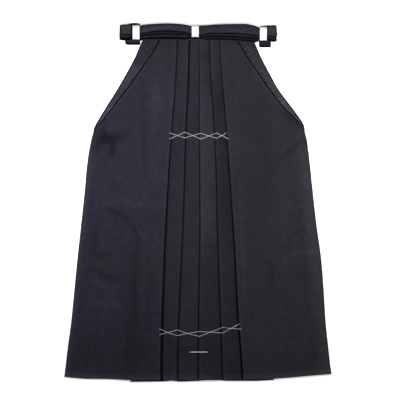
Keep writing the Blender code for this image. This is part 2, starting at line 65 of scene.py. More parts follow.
# How far a panel stays flat past its side pleat's fold, and how that pleat narrows and ends at its tip
LEAF_COVER = 0.003
LEAF_TIP_SHARE = 0.35
LEAF_TIP_RUN = 0.004
# The most that a panel's flat edge, its shelf and the slope before it take of the room up to the fold
FLAT_ROOM = 0.40
SHELF_ROOM = 0.30
SLOPE_ROOM = 0.20
# How far into its last run, as a share, a panel starts to rise to its fold
RISE_START = 0.20
# How far down a panel's side seam has settled on the back, and where the hem is read in the section table
SEAM_SETTLED = 0.322
HEM_MIDDLE = 0.905
SHELF_REACH = 0.035
SHELF_SLOPE = 0.027
WAIST_FLAT = 0.030
BACK_INSET = 0.004
BACK_INSET_END = 0.215
BACK_INSET_RUN = 0.043
BACK_SEAM_INSET = 0.0006
CROTCH_DOWN = 0.350
GUSSET_TOP = 0.300
GUSSET_HALF_TOP = 0.030
GUSSET_HALF_BOTTOM = 0.060
INNER_HEM_EDGE = {-1: -0.1825, 1: 0.2040}
INNER_HEM_DOWN = 0.9121
INNER_CENTRE = 0.0030
INNER_CLEAR = 0.003
FRONT_LIFT = 3
FRONT_LIFT_END = 0.086
BACK_LIFT = 1
BACK_LIFT_END = 0.043
LOW, MIDDLE, TOP = 2, 3, 4
OPENING_EDGE_LEVEL = 3
SEAM_EDGE_LEVEL = 1

# How finely the shells are made
ROW_STEP = 0.0062
HEM_START = 0.868
HEM_ROWS = 7
PANEL_STEPS = 62
STRIP_STEPS = 9
TURN_STEPS = 6
RAMP_STEPS = 4
SHARP_ANGLE = 50

# One row for each section across the legs, in millimetres
SECTION_COLUMNS = (
    "down", "left_side", "left_leaf",
    "fold_1", "fold_2", "fold_3", "fold_4", "fold_5",
    "right_leaf", "right_side",
)
SECTION_ROWS = (
    (-26, -144, -93, -55.5, -25.0, 1.5, 31.5, 58.0, 96, 144),
    (0, -150.6, -103.6, -56.1, -25.0, 2.1, 31.7, 58.8, 106.3, 151.2),
    (9.4, -155.4, -108.5, -56.3, -25.1, 2.4, 31.7, 59.2, 112.3, 155.2),
    (43, -169.7, -130.0, -57.4, -25.5, 3.2, 32.0, 60.7, 132.7, 170.1),
    (86, -193.0, -160.6, -59.9, -26.8, 4.0, 34.1, 64.1, 162.3, 192.9),
    (129, -218.1, -191.2, -63.1, -28.2, 4.0, 37.0, 67.9, 191.4, 217.2),
    (172, -244.8, -224.6, -66.0, -30.6, 4.0, 40.8, 71.7, 225.2, 249.4),
    (215, -271.0, -258.9, -69.8, -32.7, 3.8, 43.5, 75.4, 267.6, 280.2),
    (223, -275.5, -266.6, -70.4, -33.1, 3.8, 44.0, 76.0, 275.2, 284.2),
    (230, -279.6, -279.6, -70.9, -33.5, 3.8, 44.4, 76.5, 286.3, 286.3),
    (244, -281.0, -281.0, -72.0, -34.0, 4.1, 45.0, 77.5, 287.3, 287.3),
    (258, -285.4, -285.4, -73.0, -34.4, 4.3, 45.6, 78.4, 291.1, 291.1),
    (322, -296.7, -296.7, -77.6, -36.5, 5.4, 48.6, 83.2, 299.8, 299.8),
    (408, -304.9, -304.9, -82.9, -38.9, 5.9, 51.0, 89.4, 308.8, 308.8),
    (494, -314.2, -314.2, -87.8, -41.6, 6.2, 52.8, 95.3, 318.7, 318.7),
    (580, -323.4, -323.4, -92.3, -46.0, 5.4, 55.3, 100.9, 330.6, 330.6),
    (666, -332.0, -332.0, -95.3, -49.6, 3.8, 58.5, 104.9, 337.5, 337.5),
    (752, -340.5, -340.5, -98.5, -53.4, 2.7, 61.7, 109.8, 342.9, 342.9),
    (837, -351.8, -351.8, -100.1, -56.2, 1.6, 65.0, 117.0, 351.8, 351.8),
    (910, -359.5, -359.5, -100.4, -56.8, 1.9, 66.6, 121.3, 359.5, 359.5),
)
CORNER_COLUMNS = ("left_side", "left_leaf", "right_leaf", "right_side")

# Hems in millimetres: across, and down from the waistband
FRONT_HEM = (
    (-359.5, 898.6), (-327, 902.0), (-300, 904.0), (-240, 904.5), (-182.5, 907.5), (0, 907.2),
    (121, 905.5), (204, 903.7), (252, 900.2), (295, 896.2), (359.5, 891.0),
)
INNER_HEM = (
    (-182.5, 912.1), (-92, 911.0), (-70, 908.6), (-50, 911.6), (-27, 910.8), (0, 909.8), (16, 907.9),
    (59, 907.7), (78, 909.4), (121, 909.4), (145, 909.6), (166, 909.0), (204, 907.0),
)

# Soft troughs and ridges, listed one by one, in millimetres, with their turn in degrees
CREASES = (
    (-242, 262, 24, 13, 4, -1.3),
    (-254, 250, 16, 11, 70, -1.0),
    (-268, 280, 16, 9, 60, -0.7),
    (-209, 252, 22, 7, 15, -0.6),
    (-230, 288, 18, 9, 70, -1.1),
    (-282, 335, 40, 7, 82, 0.4),
    (-225, 232, 30, 7, 20, 0.25),
    (-261, 224, 9, 2.5, 45, 1.2),
    (-252, 226, 14, 2.2, 42, -0.9),
    (-145, 236, 115, 6, 90, -0.3),
    (-118, 169, 75, 16, 88, 0.4),
    (-200, 432, 75, 10, -2, 0.35),
    (-212, 463, 42, 7, -28, -0.6),
    (-166, 512, 32, 5, -58, -0.5),
    (-149, 515, 34, 6, -52, 0.4),
    (-276, 531, 38, 9, 85, -0.5),
    (-268, 569, 22, 8, -10, -0.5),
    (-263, 620, 27, 6, -30, -0.6),
    (-223, 636, 24, 6, -10, -0.5),
    (-250, 655, 40, 12, -15, 0.3),
    (-172, 671, 100, 9, 88, -0.5),
    (-129, 671, 75, 12, 88, -0.5),
    (-150, 680, 70, 7, 88, 0.2),
    (-231, 706, 60, 35, 10, 0.22),
    (-290, 835, 50, 30, 20, -0.18),
    (-169, 840, 45, 30, 0, -0.4),
    (-188, 826, 55, 5, 90, -0.5),
    (242, 199, 24, 9, -52, -0.8),
    (258, 282, 26, 7, 42, -0.6),
    (271, 255, 16, 6, 40, 0.6),
    (238, 582, 17, 6, 42, 0.45),
    (295, 565, 42, 6, 4, 0.45),
    (199, 625, 35, 7, 88, -0.4),
    (274, 625, 50, 32, 0, -0.14),
    (322, 786, 60, 12, 85, -0.4),
    (121, 585, 110, 6, 93, 0.4),
    (188, 350, 120, 14, 90, -0.2),
    (126, 464, 20, 8, 60, 0.3),
    (150, 400, 230, 52, 90, -0.3),
    (5, 107, 28, 6, 0, -0.4),
    (16, 38, 12, 8, 0, -0.5),
    (-3, 204, 10, 12, 0, -0.4),
    (0, 549, 75, 3.5, 0, -0.3),
    (0, 560, 75, 5, 0, 0.25),
    (-35, 830, 40, 28, 0, -0.3),
    (-175, 735, 140, 38, 92, -0.42),
    (-75, 150, 68, 36, 90, 0.32),
)
# Painted shade in the troughs and painted light on the ridges: how much the crease height darkens or lightens
# the tone
CREASE_TONE = 0.55
# The squared distance, in a fold's own half sizes, beyond which it no longer counts
CREASE_REACH = 9.0
PUFF_HEIGHT = 0.0021
PUFF_EDGE = 0.018
PUFF_LEAST = 0.6
# Noises are rows of height, scale across, scale in the other direction, seed
PUFF_NOISE = (0.4, 6.0, 4.0, 1.3)
SOFT_WAVES = ((0.0006, 9.0, 5.0, 3.7), (0.00025, 27.9, 15.5, 11.47))

# One row for each station along the folded straps, in millimetres
STRAP_COLUMNS = ("across", "low", "high", "thick")
STRAP_ROWS = (
    (-208, 5.0, 45.0, 11.0),
    (-200, 3.7, 46.2, 14.0),
    (-186, 4.4, 46.0, 14.5),
    (-177, 7.0, 43.8, 13.0),
    (-157.6, 7.0, 43.8, 13.0),
    (-156.6, 7.0, 43.8, 13.0),
    (-155.6, 4.2, 44.0, 13.2),
    (-149.6, 3.5, 45.0, 14.7),
    (-147.6, 6.6, 45.3, 15.2),
    (-120, 6.5, 47.4, 18.0),
    (-85, 6.5, 48.8, 19.0),
    (-50, 6.5, 47.4, 18.0),
    (-28, 7.0, 44.8, 16.0),
    (-19, 12.0, 43.8, 13.5),
    (4, 12.0, 43.8, 13.5),
    (13, 6.8, 43.6, 16.0),
    (45, 5.8, 46.0, 18.0),
    (85, 4.4, 47.2, 18.5),
    (125, 2.4, 47.6, 18.0),
    (149, -0.6, 43.6, 15.5),
    (155, -2.6, 42.2, 14.4),
    (158, -0.9, 41.1, 13.8),
    (160.5, 0.8, 40.2, 13.4),
    (164.6, 3.9, 39.8, 13.0),
    (166, 4.0, 39.8, 13.0),
    (186, 4.0, 39.8, 13.0),
    (196, 0.8, 43.6, 14.5),
    (205, -0.2, 44.2, 14.0),
    (210, 2.0, 43.0, 11.0),
)
STRAP_REST = 0.0125
STRAP_SAG = 0.006
STRAP_SAG_START = 0.150
STRAP_SAG_RUN = 0.060
STRAP_WALL = 0.0012

# The lower lip of the outer run, in millimetres: across, up
FACE_LIP = (
    (-212, 18.5), (-186, 19.5), (-176, 21.5), (-148, 23.6), (-129, 27.2), (-110, 28.8), (-89, 30.4),
    (-67, 29.3), (-46, 27.3), (-32, 25.4), (-24, 23.2), (13, 20.8), (32, 23.4), (54, 23.4),
    (75, 23.7), (97, 23.4), (118, 22.1), (140, 20.2), (156, 18.3), (186, 16.4), (212, 15.4),
)

# The layers under the lip: share of the way up to it, height as a share of the thickness, tone: painted light
# on the layers' upper faces and painted shade on their lower sides and in the grooves
LEFT_LAYERS = (
    (0.00, 0.05, 0.04), (0.01, 0.20, 0.04), (0.08, 0.27, 0.04), (0.23, 0.30, 0.05), (0.30, 0.33, 0.45),
    (0.36, 0.36, 0.80), (0.44, 0.36, 0.80), (0.50, 0.33, 0.36), (0.55, 0.32, 0.16), (0.61, 0.42, 0.18),
    (0.66, 0.50, 0.24), (0.72, 0.54, 0.55), (0.79, 0.56, 0.55), (0.85, 0.54, 0.24), (0.89, 0.52, 0.12),
)
RIGHT_LAYERS = (
    (0.00, 0.05, 0.05), (0.01, 0.18, 0.05), (0.07, 0.25, 0.06), (0.15, 0.28, 0.12), (0.22, 0.32, 0.42),
    (0.31, 0.34, 0.50), (0.38, 0.33, 0.34), (0.43, 0.31, 0.06), (0.50, 0.42, 0.06), (0.56, 0.50, 0.20),
    (0.63, 0.55, 0.55), (0.72, 0.58, 0.80), (0.80, 0.58, 0.70), (0.86, 0.55, 0.22), (0.89, 0.53, 0.10),
)

# Folds and puckers of the outer run, in millimetres: across, up, half length, half width, turn, height
FACE_FOLDS = (
    (-135, 31.5, 18, 2.6, 8, 0.45),
    (-80, 38, 42, 3.6, 2, 0.30),
    (-128, 37.0, 14, 2.4, 4, -0.30),
    (-115, 44.5, 26, 2.0, 3, -0.35),
    (-84, 32.2, 24, 2.0, 3, -0.60),
    (-40, 41.5, 12, 3, -14, -0.30),
    (-153.6, 27, 20, 0.9, 90, -0.55),
    (-151.2, 33, 13, 0.8, 88, 0.55),
    (-148.6, 27, 18, 0.9, 92, -0.60),
    (-30.8, 27, 16, 0.9, 86, 0.30),
    (-28.2, 27, 18, 0.8, 88, -0.75),
    (-25.2, 27, 18, 0.9, 90, 0.45),
    (-22.6, 27, 18, 0.8, 93, -0.80),
    (-150, 36, 5, 5, 40, -0.30),
    (6.5, 30, 16, 0.9, 90, -0.45),
    (9.5, 32, 14, 1.0, 90, 0.25),
    (20, 36, 8, 3, 12, -0.20),
    (84, 34.6, 70, 1.1, -1, -0.22),
    (84, 32.0, 70, 1.1, -1, 0.25),
    (84, 29.2, 66, 1.1, -1, -0.20),
    (60, 41.0, 40, 1.4, 3, -0.22),
    (120, 38, 30, 1.6, -8, 0.25),
    (145, 33, 12, 1.5, -24, -0.30),
    (150, 37, 10, 1.3, -24, 0.30),
)
# How strongly the folds' troughs are darkened and their ridges lightened, as painted shade and painted light
FACE_TONE = 1.0
# The outer run's two visible lengths: start, end, and how much painted light each takes
FRONT_STRAPS = {"front_strap_left": (-0.1765, -0.0075, 1.18), "front_strap_right": (-0.0072, 0.1855, 1.08)}
# Where the outer run's upper edge drops beside a paper band, and by how much
FACE_DROPS = ((-0.1565, 0.0014), (-0.0215, 0.0010), (0.1635, 0.0016))
FACE_DROP_RUN = 0.0065
CORE_ENDS = (-0.2005, 0.2005)
PAPER = 0.0004
PAPER_BANDS = {
    "paper_band_left": (-0.1751, -0.1565),
    "paper_band_centre": (-0.0166, 0.0021),
    "paper_band_right": (0.1657, 0.1844),
}
BACK_STRAP_WALL = 0.0024
BACK_STRAPS = {
    "back_strap_left": (
        (-196.4, 5.0, 20.0, 3.5),
        (-195.6, -2.0, 36.0, 3.7),
        (-194.6, -4.6, 42.0, 3.8),
        (-192.5, -6.9, 45.0, 3.9),
        (-190, -7.8, 47.2, 4.0),
        (-182, -8.2, 50.0, 4.1),
        (-170, -8.2, 51.0, 4.2),
        (-158, -8.2, 49.8, 4.2),
        (-155.4, -7.6, 48.8, 4.0),
        (-154.2, 9.0, 36.0, 3.4),
        (-151.5, 9.0, 28.0, 2.2),
        (-146.0, 9.0, 24.0, 1.9),
    ),
    "back_strap_right": (
        (146.0, 9.0, 24.0, 1.9),
        (151.5, 9.0, 28.0, 2.2),
        (162.8, 9.0, 34.0, 3.6),
        (163.9, -14.8, 37.0, 4.0),
        (166.0, -15.0, 41.0, 4.0),
        (168.0, -15.0, 43.2, 4.2),
        (193.0, -15.0, 44.8, 4.1),
        (195.6, -14.0, 36.0, 3.9),
    ),
}

# The photograph's frame
PIXEL = 0.002684
PIXEL_X0 = 198.0
PIXEL_Y0 = 202.41
PICTURE_MIDDLE = 200.0
CAMERA_HEIGHT = 8.0
SENSOR = 36.0

# Basting threads. The step is in pixels of the photograph
THREAD_RADIUS = 0.00053
STITCH_RADIUS = 0.00096
STITCH_TONE = 1.4
THREAD_STEP = 0.45
THREAD_EASE = 3
# How high the threads lie, and how much higher the second of a crossing pair, in radii
THREAD_REST = 0.9
THREAD_OVER = 0.9
# How far the two points at each end of a thread sink into the cloth: index, radii
THREAD_SINKS = ((0, 1.4), (1, 0.4), (-1, 1.4), (-2, 0.4))
THREAD_SIDES = 8
THREAD_PLY = 0.16
THREAD_TWIST = 1.1
# The height from which the cloth's top is looked for, and the height taken where there is none
ABOVE_ALL = 0.2
CLOTH_TOP = 0.006
# The threads' stops, in pixels of the photograph: across, down
THREADS = {
    "basting_upper_a": (
        (169.8, 133.0), (177.5, 135.6), (184.8, 137.9), (192.8, 135.6), (200.8, 133.3),
        (208.9, 136.0), (216.5, 138.3), (221.9, 135.6), (226.5, 133.0),
    ),
    "basting_upper_b": (
        (169.8, 139.0), (177.5, 135.6), (184.8, 132.2), (192.8, 135.6), (200.8, 139.1),
        (208.9, 136.0), (216.5, 133.0), (221.9, 135.6), (228.5, 139.1),
    ),
    "basting_lower_a": (
        (159.1, 328.7), (167.9, 332.5), (177.1, 335.6), (187.4, 333.4), (199.7, 331.4),
        (210.4, 332.0), (222.6, 332.9), (231.0, 328.3), (239.8, 323.7),
    ),
    "basting_lower_b": (
        (159.1, 334.8), (167.9, 332.5), (177.1, 329.8), (187.4, 333.4), (199.7, 336.3),
        (210.4, 332.0), (222.6, 327.4), (231.0, 328.3), (241.0, 329.1),
    ),
    "basting_stitch": ((190.2, 352.1), (198.0, 352.0), (207.9, 351.9)),
}


# Small helpers

def smooth(share):
    """A soft step from 0 to 1."""
    held = min(max(share, 0.0), 1.0)
    return held * held * (3.0 - 2.0 * held)


def blend(first, second, share):
    """A straight mix of two values."""
    return first + (second - first) * share


def middle(level):
    """The height of the middle of a wall that lies on the given level."""
    return WALL / 2 + level * LEVEL


def read_line(points, place):
    """Read a line of (place, value) points at a place."""
    for (x0, v0), (x1, v1) in zip(points, points[1:]):
        if place <= x1:
            return blend(v0, v1, min(max((place - x0) / (x1 - x0), 0.0), 1.0))
    return points[-1][1]


def bell(place, centre, width):
    """1 at the centre, falling softly to 0 away from it."""
    return math.exp(-((place - centre) / width) ** 2)


def wander(look, across, other):
    """A noise at a place. Its look is height, scale across, scale in the other direction, seed."""
    height, wide, long, seed = look
    return height * noise.noise(Vector((across * wide, other * long, seed)))


def hermite(places, values, place, corner):
    """A soft curve through values that keeps a sharp corner at one place."""
    last = len(places) - 2
    index = next((i for i in range(last + 1) if place <= places[i + 1]), last)
    slopes = [(values[i + 1] - values[i]) / (places[i + 1] - places[i]) for i in range(last + 1)]

    def tangent(point, segment):
        neighbours = [slopes[i] for i in (point - 1, point) if 0 <= i <= last]
        if places[point] == corner or len(neighbours) < 2 or neighbours[0] * neighbours[1] < 0:
            return slopes[segment] if places[point] == corner or len(neighbours) < 2 else 0.0
        return sum(neighbours) / 2

    run = places[index + 1] - places[index]
    t = (place - places[index]) / run
    m0 = tangent(index, index) * run
    m1 = tangent(index + 1, index) * run
    v0, v1 = values[index], values[index + 1]
    return (
        (2 * t ** 3 - 3 * t ** 2 + 1) * v0 + (t ** 3 - 2 * t ** 2 + t) * m0
        + (-2 * t ** 3 + 3 * t ** 2) * v1 + (t ** 3 - t ** 2) * m1
    )


SECTION_TABLE = {
    name: [row[i] * MM for row in SECTION_ROWS] for i, name in enumerate(SECTION_COLUMNS)
}


def at_side(row, side, name):
    """The left or right place of that name in a section row. side is -1 left and 1 right."""
    return row[("left_" if side < 0 else "right_") + name]


def section(down):
    """The garment's widths and folds at a place below the waistband."""
    places = SECTION_TABLE["down"]
    made = {"down": down}
    for name in SECTION_COLUMNS[1:]:
        corner = OPENING_END if name in CORNER_COLUMNS else None
        made[name] = hermite(places, SECTION_TABLE[name], min(down, places[-1]), corner)
    return made


def front_lift(down):
    """How far the front layers rise towards the waist."""
    return LEVEL * FRONT_LIFT * (1.0 - smooth(down / FRONT_LIFT_END))


def back_lift(down):
    """How far the back panels rise towards the waist."""
    return LEVEL * BACK_LIFT * (1.0 - smooth(down / BACK_LIFT_END))


def sum_of_folds(rows, x, y):
    """The heights of listed folds at a place: rows hold x, y, half length, half width, turn, height."""
    total = 0.0
    for place_x, place_y, long, wide, turn, height in rows:
        cosine, sine = math.cos(math.radians(turn)), math.sin(math.radians(turn))
        along = ((x - place_x) * cosine + (y - place_y) * sine) / long
        aside = (-(x - place_x) * sine + (y - place_y) * cosine) / wide
        far = along * along + aside * aside
        if far < CREASE_REACH:
            total += height * math.exp(-far)
    return total


CREASES_UP = [(row[0], -row[1], *row[2:]) for row in CREASES]


def crease_height(across, down):
    """The soft listed troughs and ridges at a place on the panels."""
    return sum_of_folds(CREASES_UP, across / MM, -down / MM) * MM


def soft_wave(across, down):
    """Slow unevenness of cloth that was folded and laid out again."""
    return sum(wander(wave, across, down) for wave in SOFT_WAVES)


def row_places():
    """The downs of the shells' rows, and for the last rows how far they follow the hem."""
    count = int(round((HEM_START + WAIST_TUCK) / ROW_STEP))
    rows = [(-WAIST_TUCK + (HEM_START + WAIST_TUCK) * i / count, 0.0) for i in range(count + 1)]
    nearest = min(range(len(rows)), key=lambda i: abs(rows[i][0] - OPENING_END))
    rows[nearest] = (OPENING_END, 0.0)
    rows += [(HEM_START, i / HEM_ROWS) for i in range(1, HEM_ROWS + 1)]
    return rows


# Mesh making

def offset_walls(path, half):
    """Move a path of (across, height, tone) to both sides by half the wall."""
    pairs = []
    for index, point in enumerate(path):
        before = path[max(index - 1, 0)]
        after = path[min(index + 1, len(path) - 1)]
        incoming = Vector((point[0] - before[0], point[1] - before[1]))
        outgoing = Vector((after[0] - point[0], after[1] - point[1]))
        first = incoming.normalized() if incoming.length > 0 else outgoing.normalized()
        second = outgoing.normalized() if outgoing.length > 0 else first
        along = (first + second).normalized()
        stretch = half / max(along.dot(first), 0.5)
        normal = Vector((-along.y, along.x)) * stretch
        here = Vector(point[:2])
        pairs.append((here + normal, here - normal, point[2]))
    return pairs


def arc(centre, size, turn, first, count, tones):
    """Points round an oval from its top, a tone for each: first is the number of the first of count steps."""
    points = []
    for step, tone in enumerate(tones, first):
        angle = math.pi / 2 - turn * step / count
        points.append((centre[0] + size[0] * math.cos(angle), centre[1] + size[1] * math.sin(angle), tone))
    return points


def stand_pairs(across, pairs, shift=0.0):
    """Stand pairs of (up, height) at a place across the garment, all shifted up by the same distance."""
    return [
        (Vector((across, WAIST_Y + a.x + shift, a.y)), Vector((across, WAIST_Y + b.x + shift, b.y)), tone)
        for a, b, tone in pairs
    ]


def new_piece(name, points, faces, tones, look, replaced):
    """A mesh piece with its tones, its finish, and the solids it stands for."""
    slot = SLOTS.get(look.name)
    if slot:
        name = f"{name}_{slot}"
    mesh = bpy.data.meshes.new(name)
    mesh.from_pydata(points, [], faces)
    editor = bmesh.new()
    editor.from_mesh(mesh)
    bmesh.ops.recalc_face_normals(editor, faces=editor.faces)
    editor.to_mesh(mesh)
    editor.free()
    attribute = mesh.attributes.new(name="tone", type="FLOAT", domain="POINT")
    attribute.data.foreach_set("value", tones)
    mesh.materials.append(look)
    mesh.shade_smooth()
    mesh.set_sharp_from_angle(angle=math.radians(SHARP_ANGLE))
    piece = bpy.data.objects.new(name, mesh)
    bpy.context.scene.collection.objects.link(piece)
    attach(piece, BODY)
    if slot:
        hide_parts(*replaced)
    return piece


def loft_wall(name, rows, look, replaced=(), closed=False):
    """A closed wall through rows of (point, point, tone). closed joins each row's ends into a ring."""
    count = len(rows[0])
    points = [point for row in rows for pair in row for point in pair[:2]]
    tones = [pair[2] for row in rows for pair in row for _ in (0, 1)]

    def at(row, index, side):
        return (row * count + index % count) * 2 + side

    spans = range(count) if closed else range(count - 1)
    faces = []
    for row in range(len(rows) - 1):
        for index in spans:
            for side in (0, 1):
                faces.append((
                    at(row, index, side), at(row, index + 1, side),
                    at(row + 1, index + 1, side), at(row + 1, index, side),
                ))
        if not closed:
            for index in (0, count - 1):
                faces.append((
                    at(row, index, 0), at(row, index, 1), at(row + 1, index, 1), at(row + 1, index, 0),
                ))
    for row in (0, len(rows) - 1):
        for index in spans:
            faces.append((at(row, index, 0), at(row, index + 1, 0), at(row, index + 1, 1), at(row, index, 1)))
    return new_piece(name, points, faces, tones, look, replaced)


def cloth_sheet(name, rows, look):
    """A wall of cloth that stands for the solid of the same name."""
    piece = loft_wall(name, rows, look, (name,))
    return piece


def loft_solid(name, loops, tones, look, replaced=()):
    """A solid through closed loops of points, with a face at each end."""
    count = len(loops[0])
    points = [point for loop in loops for point in loop]
    faces = [tuple(range(count)), tuple(range(len(points) - count, len(points)))]
    for row in range(len(loops) - 1):
        for index in range(count):
            following = (index + 1) % count
            faces.append((
                row * count + index, row * count + following,
                (row + 1) * count + following, (row + 1) * count + index,
            ))
    return new_piece(name, points, faces, [t for row in tones for t in row], look, replaced)


# Paths across the legs: points are (across, height, tone)

# Painted shade round a fold's turn, from its top to its underside, and on cloth out of sight under the folds
TURN_TONES = (1.0, 0.80, 0.55, 0.40, 0.30, 0.25, 0.25)
HIDDEN_TONE = 0.30
# Painted shadow beside a fold that lies over the cloth: its reach, and the stops where it is drawn
CREVICE_REACH = 0.0022
CREVICE_STOPS = (0.0, 0.0008, 0.0018, 0.0030, 0.0044, 0.0060, 0.0080)
# A painted highlight along a pressed fold: strength, distance in, width
FOLD_HIGHLIGHT = (0.16, 0.0046, 0.0026)

# How dark and how wide (in millimetres) the shadow beside each fold is, at the waist, middle and hem
FOLD_COLUMNS = ("waist_tone", "middle_tone", "hem_tone", "waist_width", "hem_width")
FOLD_LOOKS = {
    1: (0.20, 0.12, 0.05, 1.2, 4.2),
    2: (0.04, 0.22, 0.16, 2.2, 2.2),
    3: (0.50, 0.22, 0.10, 0.8, 1.8),
    4: (0.30, 0.08, 0.14, 1.0, 1.6),
    5: (0.45, 0.08, 0.03, 0.8, 2.8),
}
# Down the garment: the run of the waist's look, the start and run of the hem's, and the run of the width
FOLD_FADES = (0.40, 0.55, 0.30, 0.85)

# Painted light and shade on each strip between two folds, in its middle part
STRIP_COLUMNS = ("middle_tone", "hem_tone")
STRIP_TONES = {1: (0.86, 0.90), 2: (0.90, 0.94), 3: (1.14, 0.86), 4: (0.72, 0.84)}
STRIP_START = (0.05, 0.16)
STRIP_TURN = (0.45, 0.62)
STRIP_CROWN = 0.0003
STRIP_TUCK = 0.004
STRIP_CLEAR = 0.0004
# Painted shade on the strips of the right panel, darkest at the fold they come out from under
STRIP_SHADE = 0.88
CENTRE_RISE = 0.0011
CENTRE_RISE_START = 0.001
CENTRE_RISE_SHARE = 0.32


def fold_look(fold, down):
    """The shadow's tone and width beside a fold."""
    look = dict(zip(FOLD_COLUMNS, FOLD_LOOKS[fold]))
    waist_run, hem_start, hem_run, width_run = FOLD_FADES
    tone = blend(look["waist_tone"], look["middle_tone"], smooth(down / waist_run))
    tone = blend(tone, look["hem_tone"], smooth((down - hem_start) / hem_run))
    return tone, blend(look["waist_width"], look["hem_width"], smooth(down / width_run)) * MM


def crevice(distance, look):
    """The painted shadow on cloth at a distance from the fold that lies over it."""
    tone, width = look
    return blend(tone, 1.0, smooth((distance - width) / (CREVICE_REACH + width / 2)))


def strip_tone(strip, down):
    """The painted light and shade of a strip between two folds."""
    start, full = STRIP_START
    turn, end = STRIP_TURN
    look = dict(zip(STRIP_COLUMNS, STRIP_TONES[strip]))
    tone = blend(look["middle_tone"], look["hem_tone"], smooth((down - turn) / (end - turn)))
    return blend(1.0, tone, smooth((down - start) / (full - start)))


def fold_highlight(distance):
    """The painted highlight along a pressed fold, a little way in from its edge."""
    strength, place, width = FOLD_HIGHLIGHT
    return 1.0 + strength * bell(distance, place, width)


def fold_turn(edge, top, facing, tones):
    """Points round a fold whose outer face reaches edge, from the run above to the run below."""
    radius = LEVEL / 2
    centre = edge - facing * (radius + WALL / 2)
    return arc((centre, top - radius), (facing * radius, radius), math.pi, 0, TURN_STEPS, tones)


def hidden_turn(edge, top, facing):
    """A fold that lies out of sight, in painted shade."""
    return fold_turn(edge, top, facing, [HIDDEN_TONE] * (TURN_STEPS + 1))


def inner_edge(side, down):
    """The outer edge of an inner leg layer at a place below the waist."""
    share = (down - CROTCH_DOWN) / (INNER_HEM_DOWN - CROTCH_DOWN)
    return blend(side * GUSSET_HALF_BOTTOM, INNER_HEM_EDGE[side], min(max(share, 0.0), 1.0))


def edge_level(down):
    """The level of a front panel's outer edge: on the side pleat at the opening, on the back below it."""
    share = smooth((down - OPENING_END) / (SEAM_SETTLED - OPENING_END))
    return blend(OPENING_EDGE_LEVEL, SEAM_EDGE_LEVEL, share)


def panel_profile(side, row, hidden):
    """The outer panel's heights as a line of (distance from its outer edge, height)."""
    down = row["down"]
    edge = at_side(row, side, "leaf")
    width = abs(edge - hidden)
    level = edge_level(down)
    rise_end = width - FOLD_CLEAR
    shelf_end = width - min(SHELF_REACH, rise_end * SHELF_ROOM)
    if down > CROTCH_DOWN:
        shelf_end = min(shelf_end, abs(edge - inner_edge(side, down)) - INNER_CLEAR)
    shelf_start = shelf_end - min(SHELF_SLOPE, rise_end * SLOPE_ROOM)
    shelf_level = blend(OPENING_EDGE_LEVEL, LOW, smooth((down - WAIST_FLAT / 2) / WAIST_FLAT))
    line = [(0.0, middle(level)), (min(LEAF_DEPTH + LEAF_COVER, rise_end * FLAT_ROOM), middle(level))]
    for start, level_start, end, level_end in (
        (shelf_start, min(level, shelf_level), shelf_end, shelf_level),
        (blend(shelf_end, width, RISE_START), shelf_level, rise_end, TOP),
    ):
        for step in range(RAMP_STEPS + 1):
            share = step / RAMP_STEPS
            line.append((blend(start, end, share), middle(blend(level_start, level_end, smooth(share)))))
    line.append((rise_end + 1.0, middle(TOP)))
    return line


# A panel's outer edge: where its fold starts to become the seam and over what run, then for the seam and the
# fold the share of a half turn, the darkest painted shade round the turn and the length of the tail
CURL_START = 0.218
CURL_RUN = 0.03
CURL_TURN = (0.52, 1.0)
CURL_DARK = (0.55, 0.06)
CURL_TAIL = (0.0001, 0.0030)
# The painted highlight at the top of the turn, how far the seam sinks, and the painted shade on the tucked
# end
CURL_LIGHT = 1.05
CURL_DROP = 0.0002
CURL_END_TONE = 0.45


def edge_curl(side, row, height):
    """The panel's outer edge: a fold over the side pleat, and a rounded seam below the opening, darkening in
    painted shade round its turn.
    """
    folded = 1.0 - smooth((row["down"] - CURL_START) / CURL_RUN)
    turn, dark, tail = (blend(*ends, folded) for ends in (CURL_TURN, CURL_DARK, CURL_TAIL))
    radius = LEVEL / 2
    centre = at_side(row, side, "leaf") - side * (radius + WALL / 2)
    tones = [blend(CURL_LIGHT, dark, step / TURN_STEPS) for step in range(TURN_STEPS + 1)]
    points = arc((centre, height - radius), (side * radius, radius), math.pi * turn, 0, TURN_STEPS, tones)
    last = points[-1]
    points.append((last[0] - side * tail * folded, last[1] - CURL_DROP * (1.0 - folded), CURL_END_TONE))
    return points[::-1]


# Painted shade on a panel's rolled edge along its fold: tone, start, run
FOLD_ROLL = (0.75, 0.0012, 0.0020)
# A painted highlight on the rounded outer edge of a panel below the opening: strength and reach, then the
# share of the reach at full strength, and its start and run down the panel
EDGE_LIGHT = {-1: (0.45, 0.013), 1: (0.50, 0.032)}
EDGE_LIGHT_FULL = 0.4
EDGE_LIGHT_RUN = (0.24, 0.08)


def edge_light(side, down, distance):
    """How much the painted highlight lightens the rounded outer edge of a panel below the opening."""
    strength, reach = EDGE_LIGHT[side]
    start, run = EDGE_LIGHT_RUN
    fade = 1.0 - smooth((distance - reach * EDGE_LIGHT_FULL) / reach)
    return 1.0 + strength * smooth((down - start) / run) * fade


# A painted highlight along the panel's folded edge and a painted shadow line below the opening: strength,
# distance in, width and, down the panel, start, fade, end, fade
OPENING_LINES = (
    (0.38, 0.0044, 0.0026, 0.035, 0.04, 0.190, 0.03),
    (-0.62, 0.0044, 0.0028, 0.204, 0.01, 0.226, 0.02),
)


def opening_lines(down, distance):
    """The painted highlight and painted shadow just inside the panel's edge beside the opening."""
    tone = 1.0
    for strength, place, width, start, start_fade, end, end_fade in OPENING_LINES:
        run = smooth((down - start) / start_fade) * (1.0 - smooth((down - end) / end_fade))
        tone *= 1.0 + strength * run * bell(distance, place, width)
    return tone


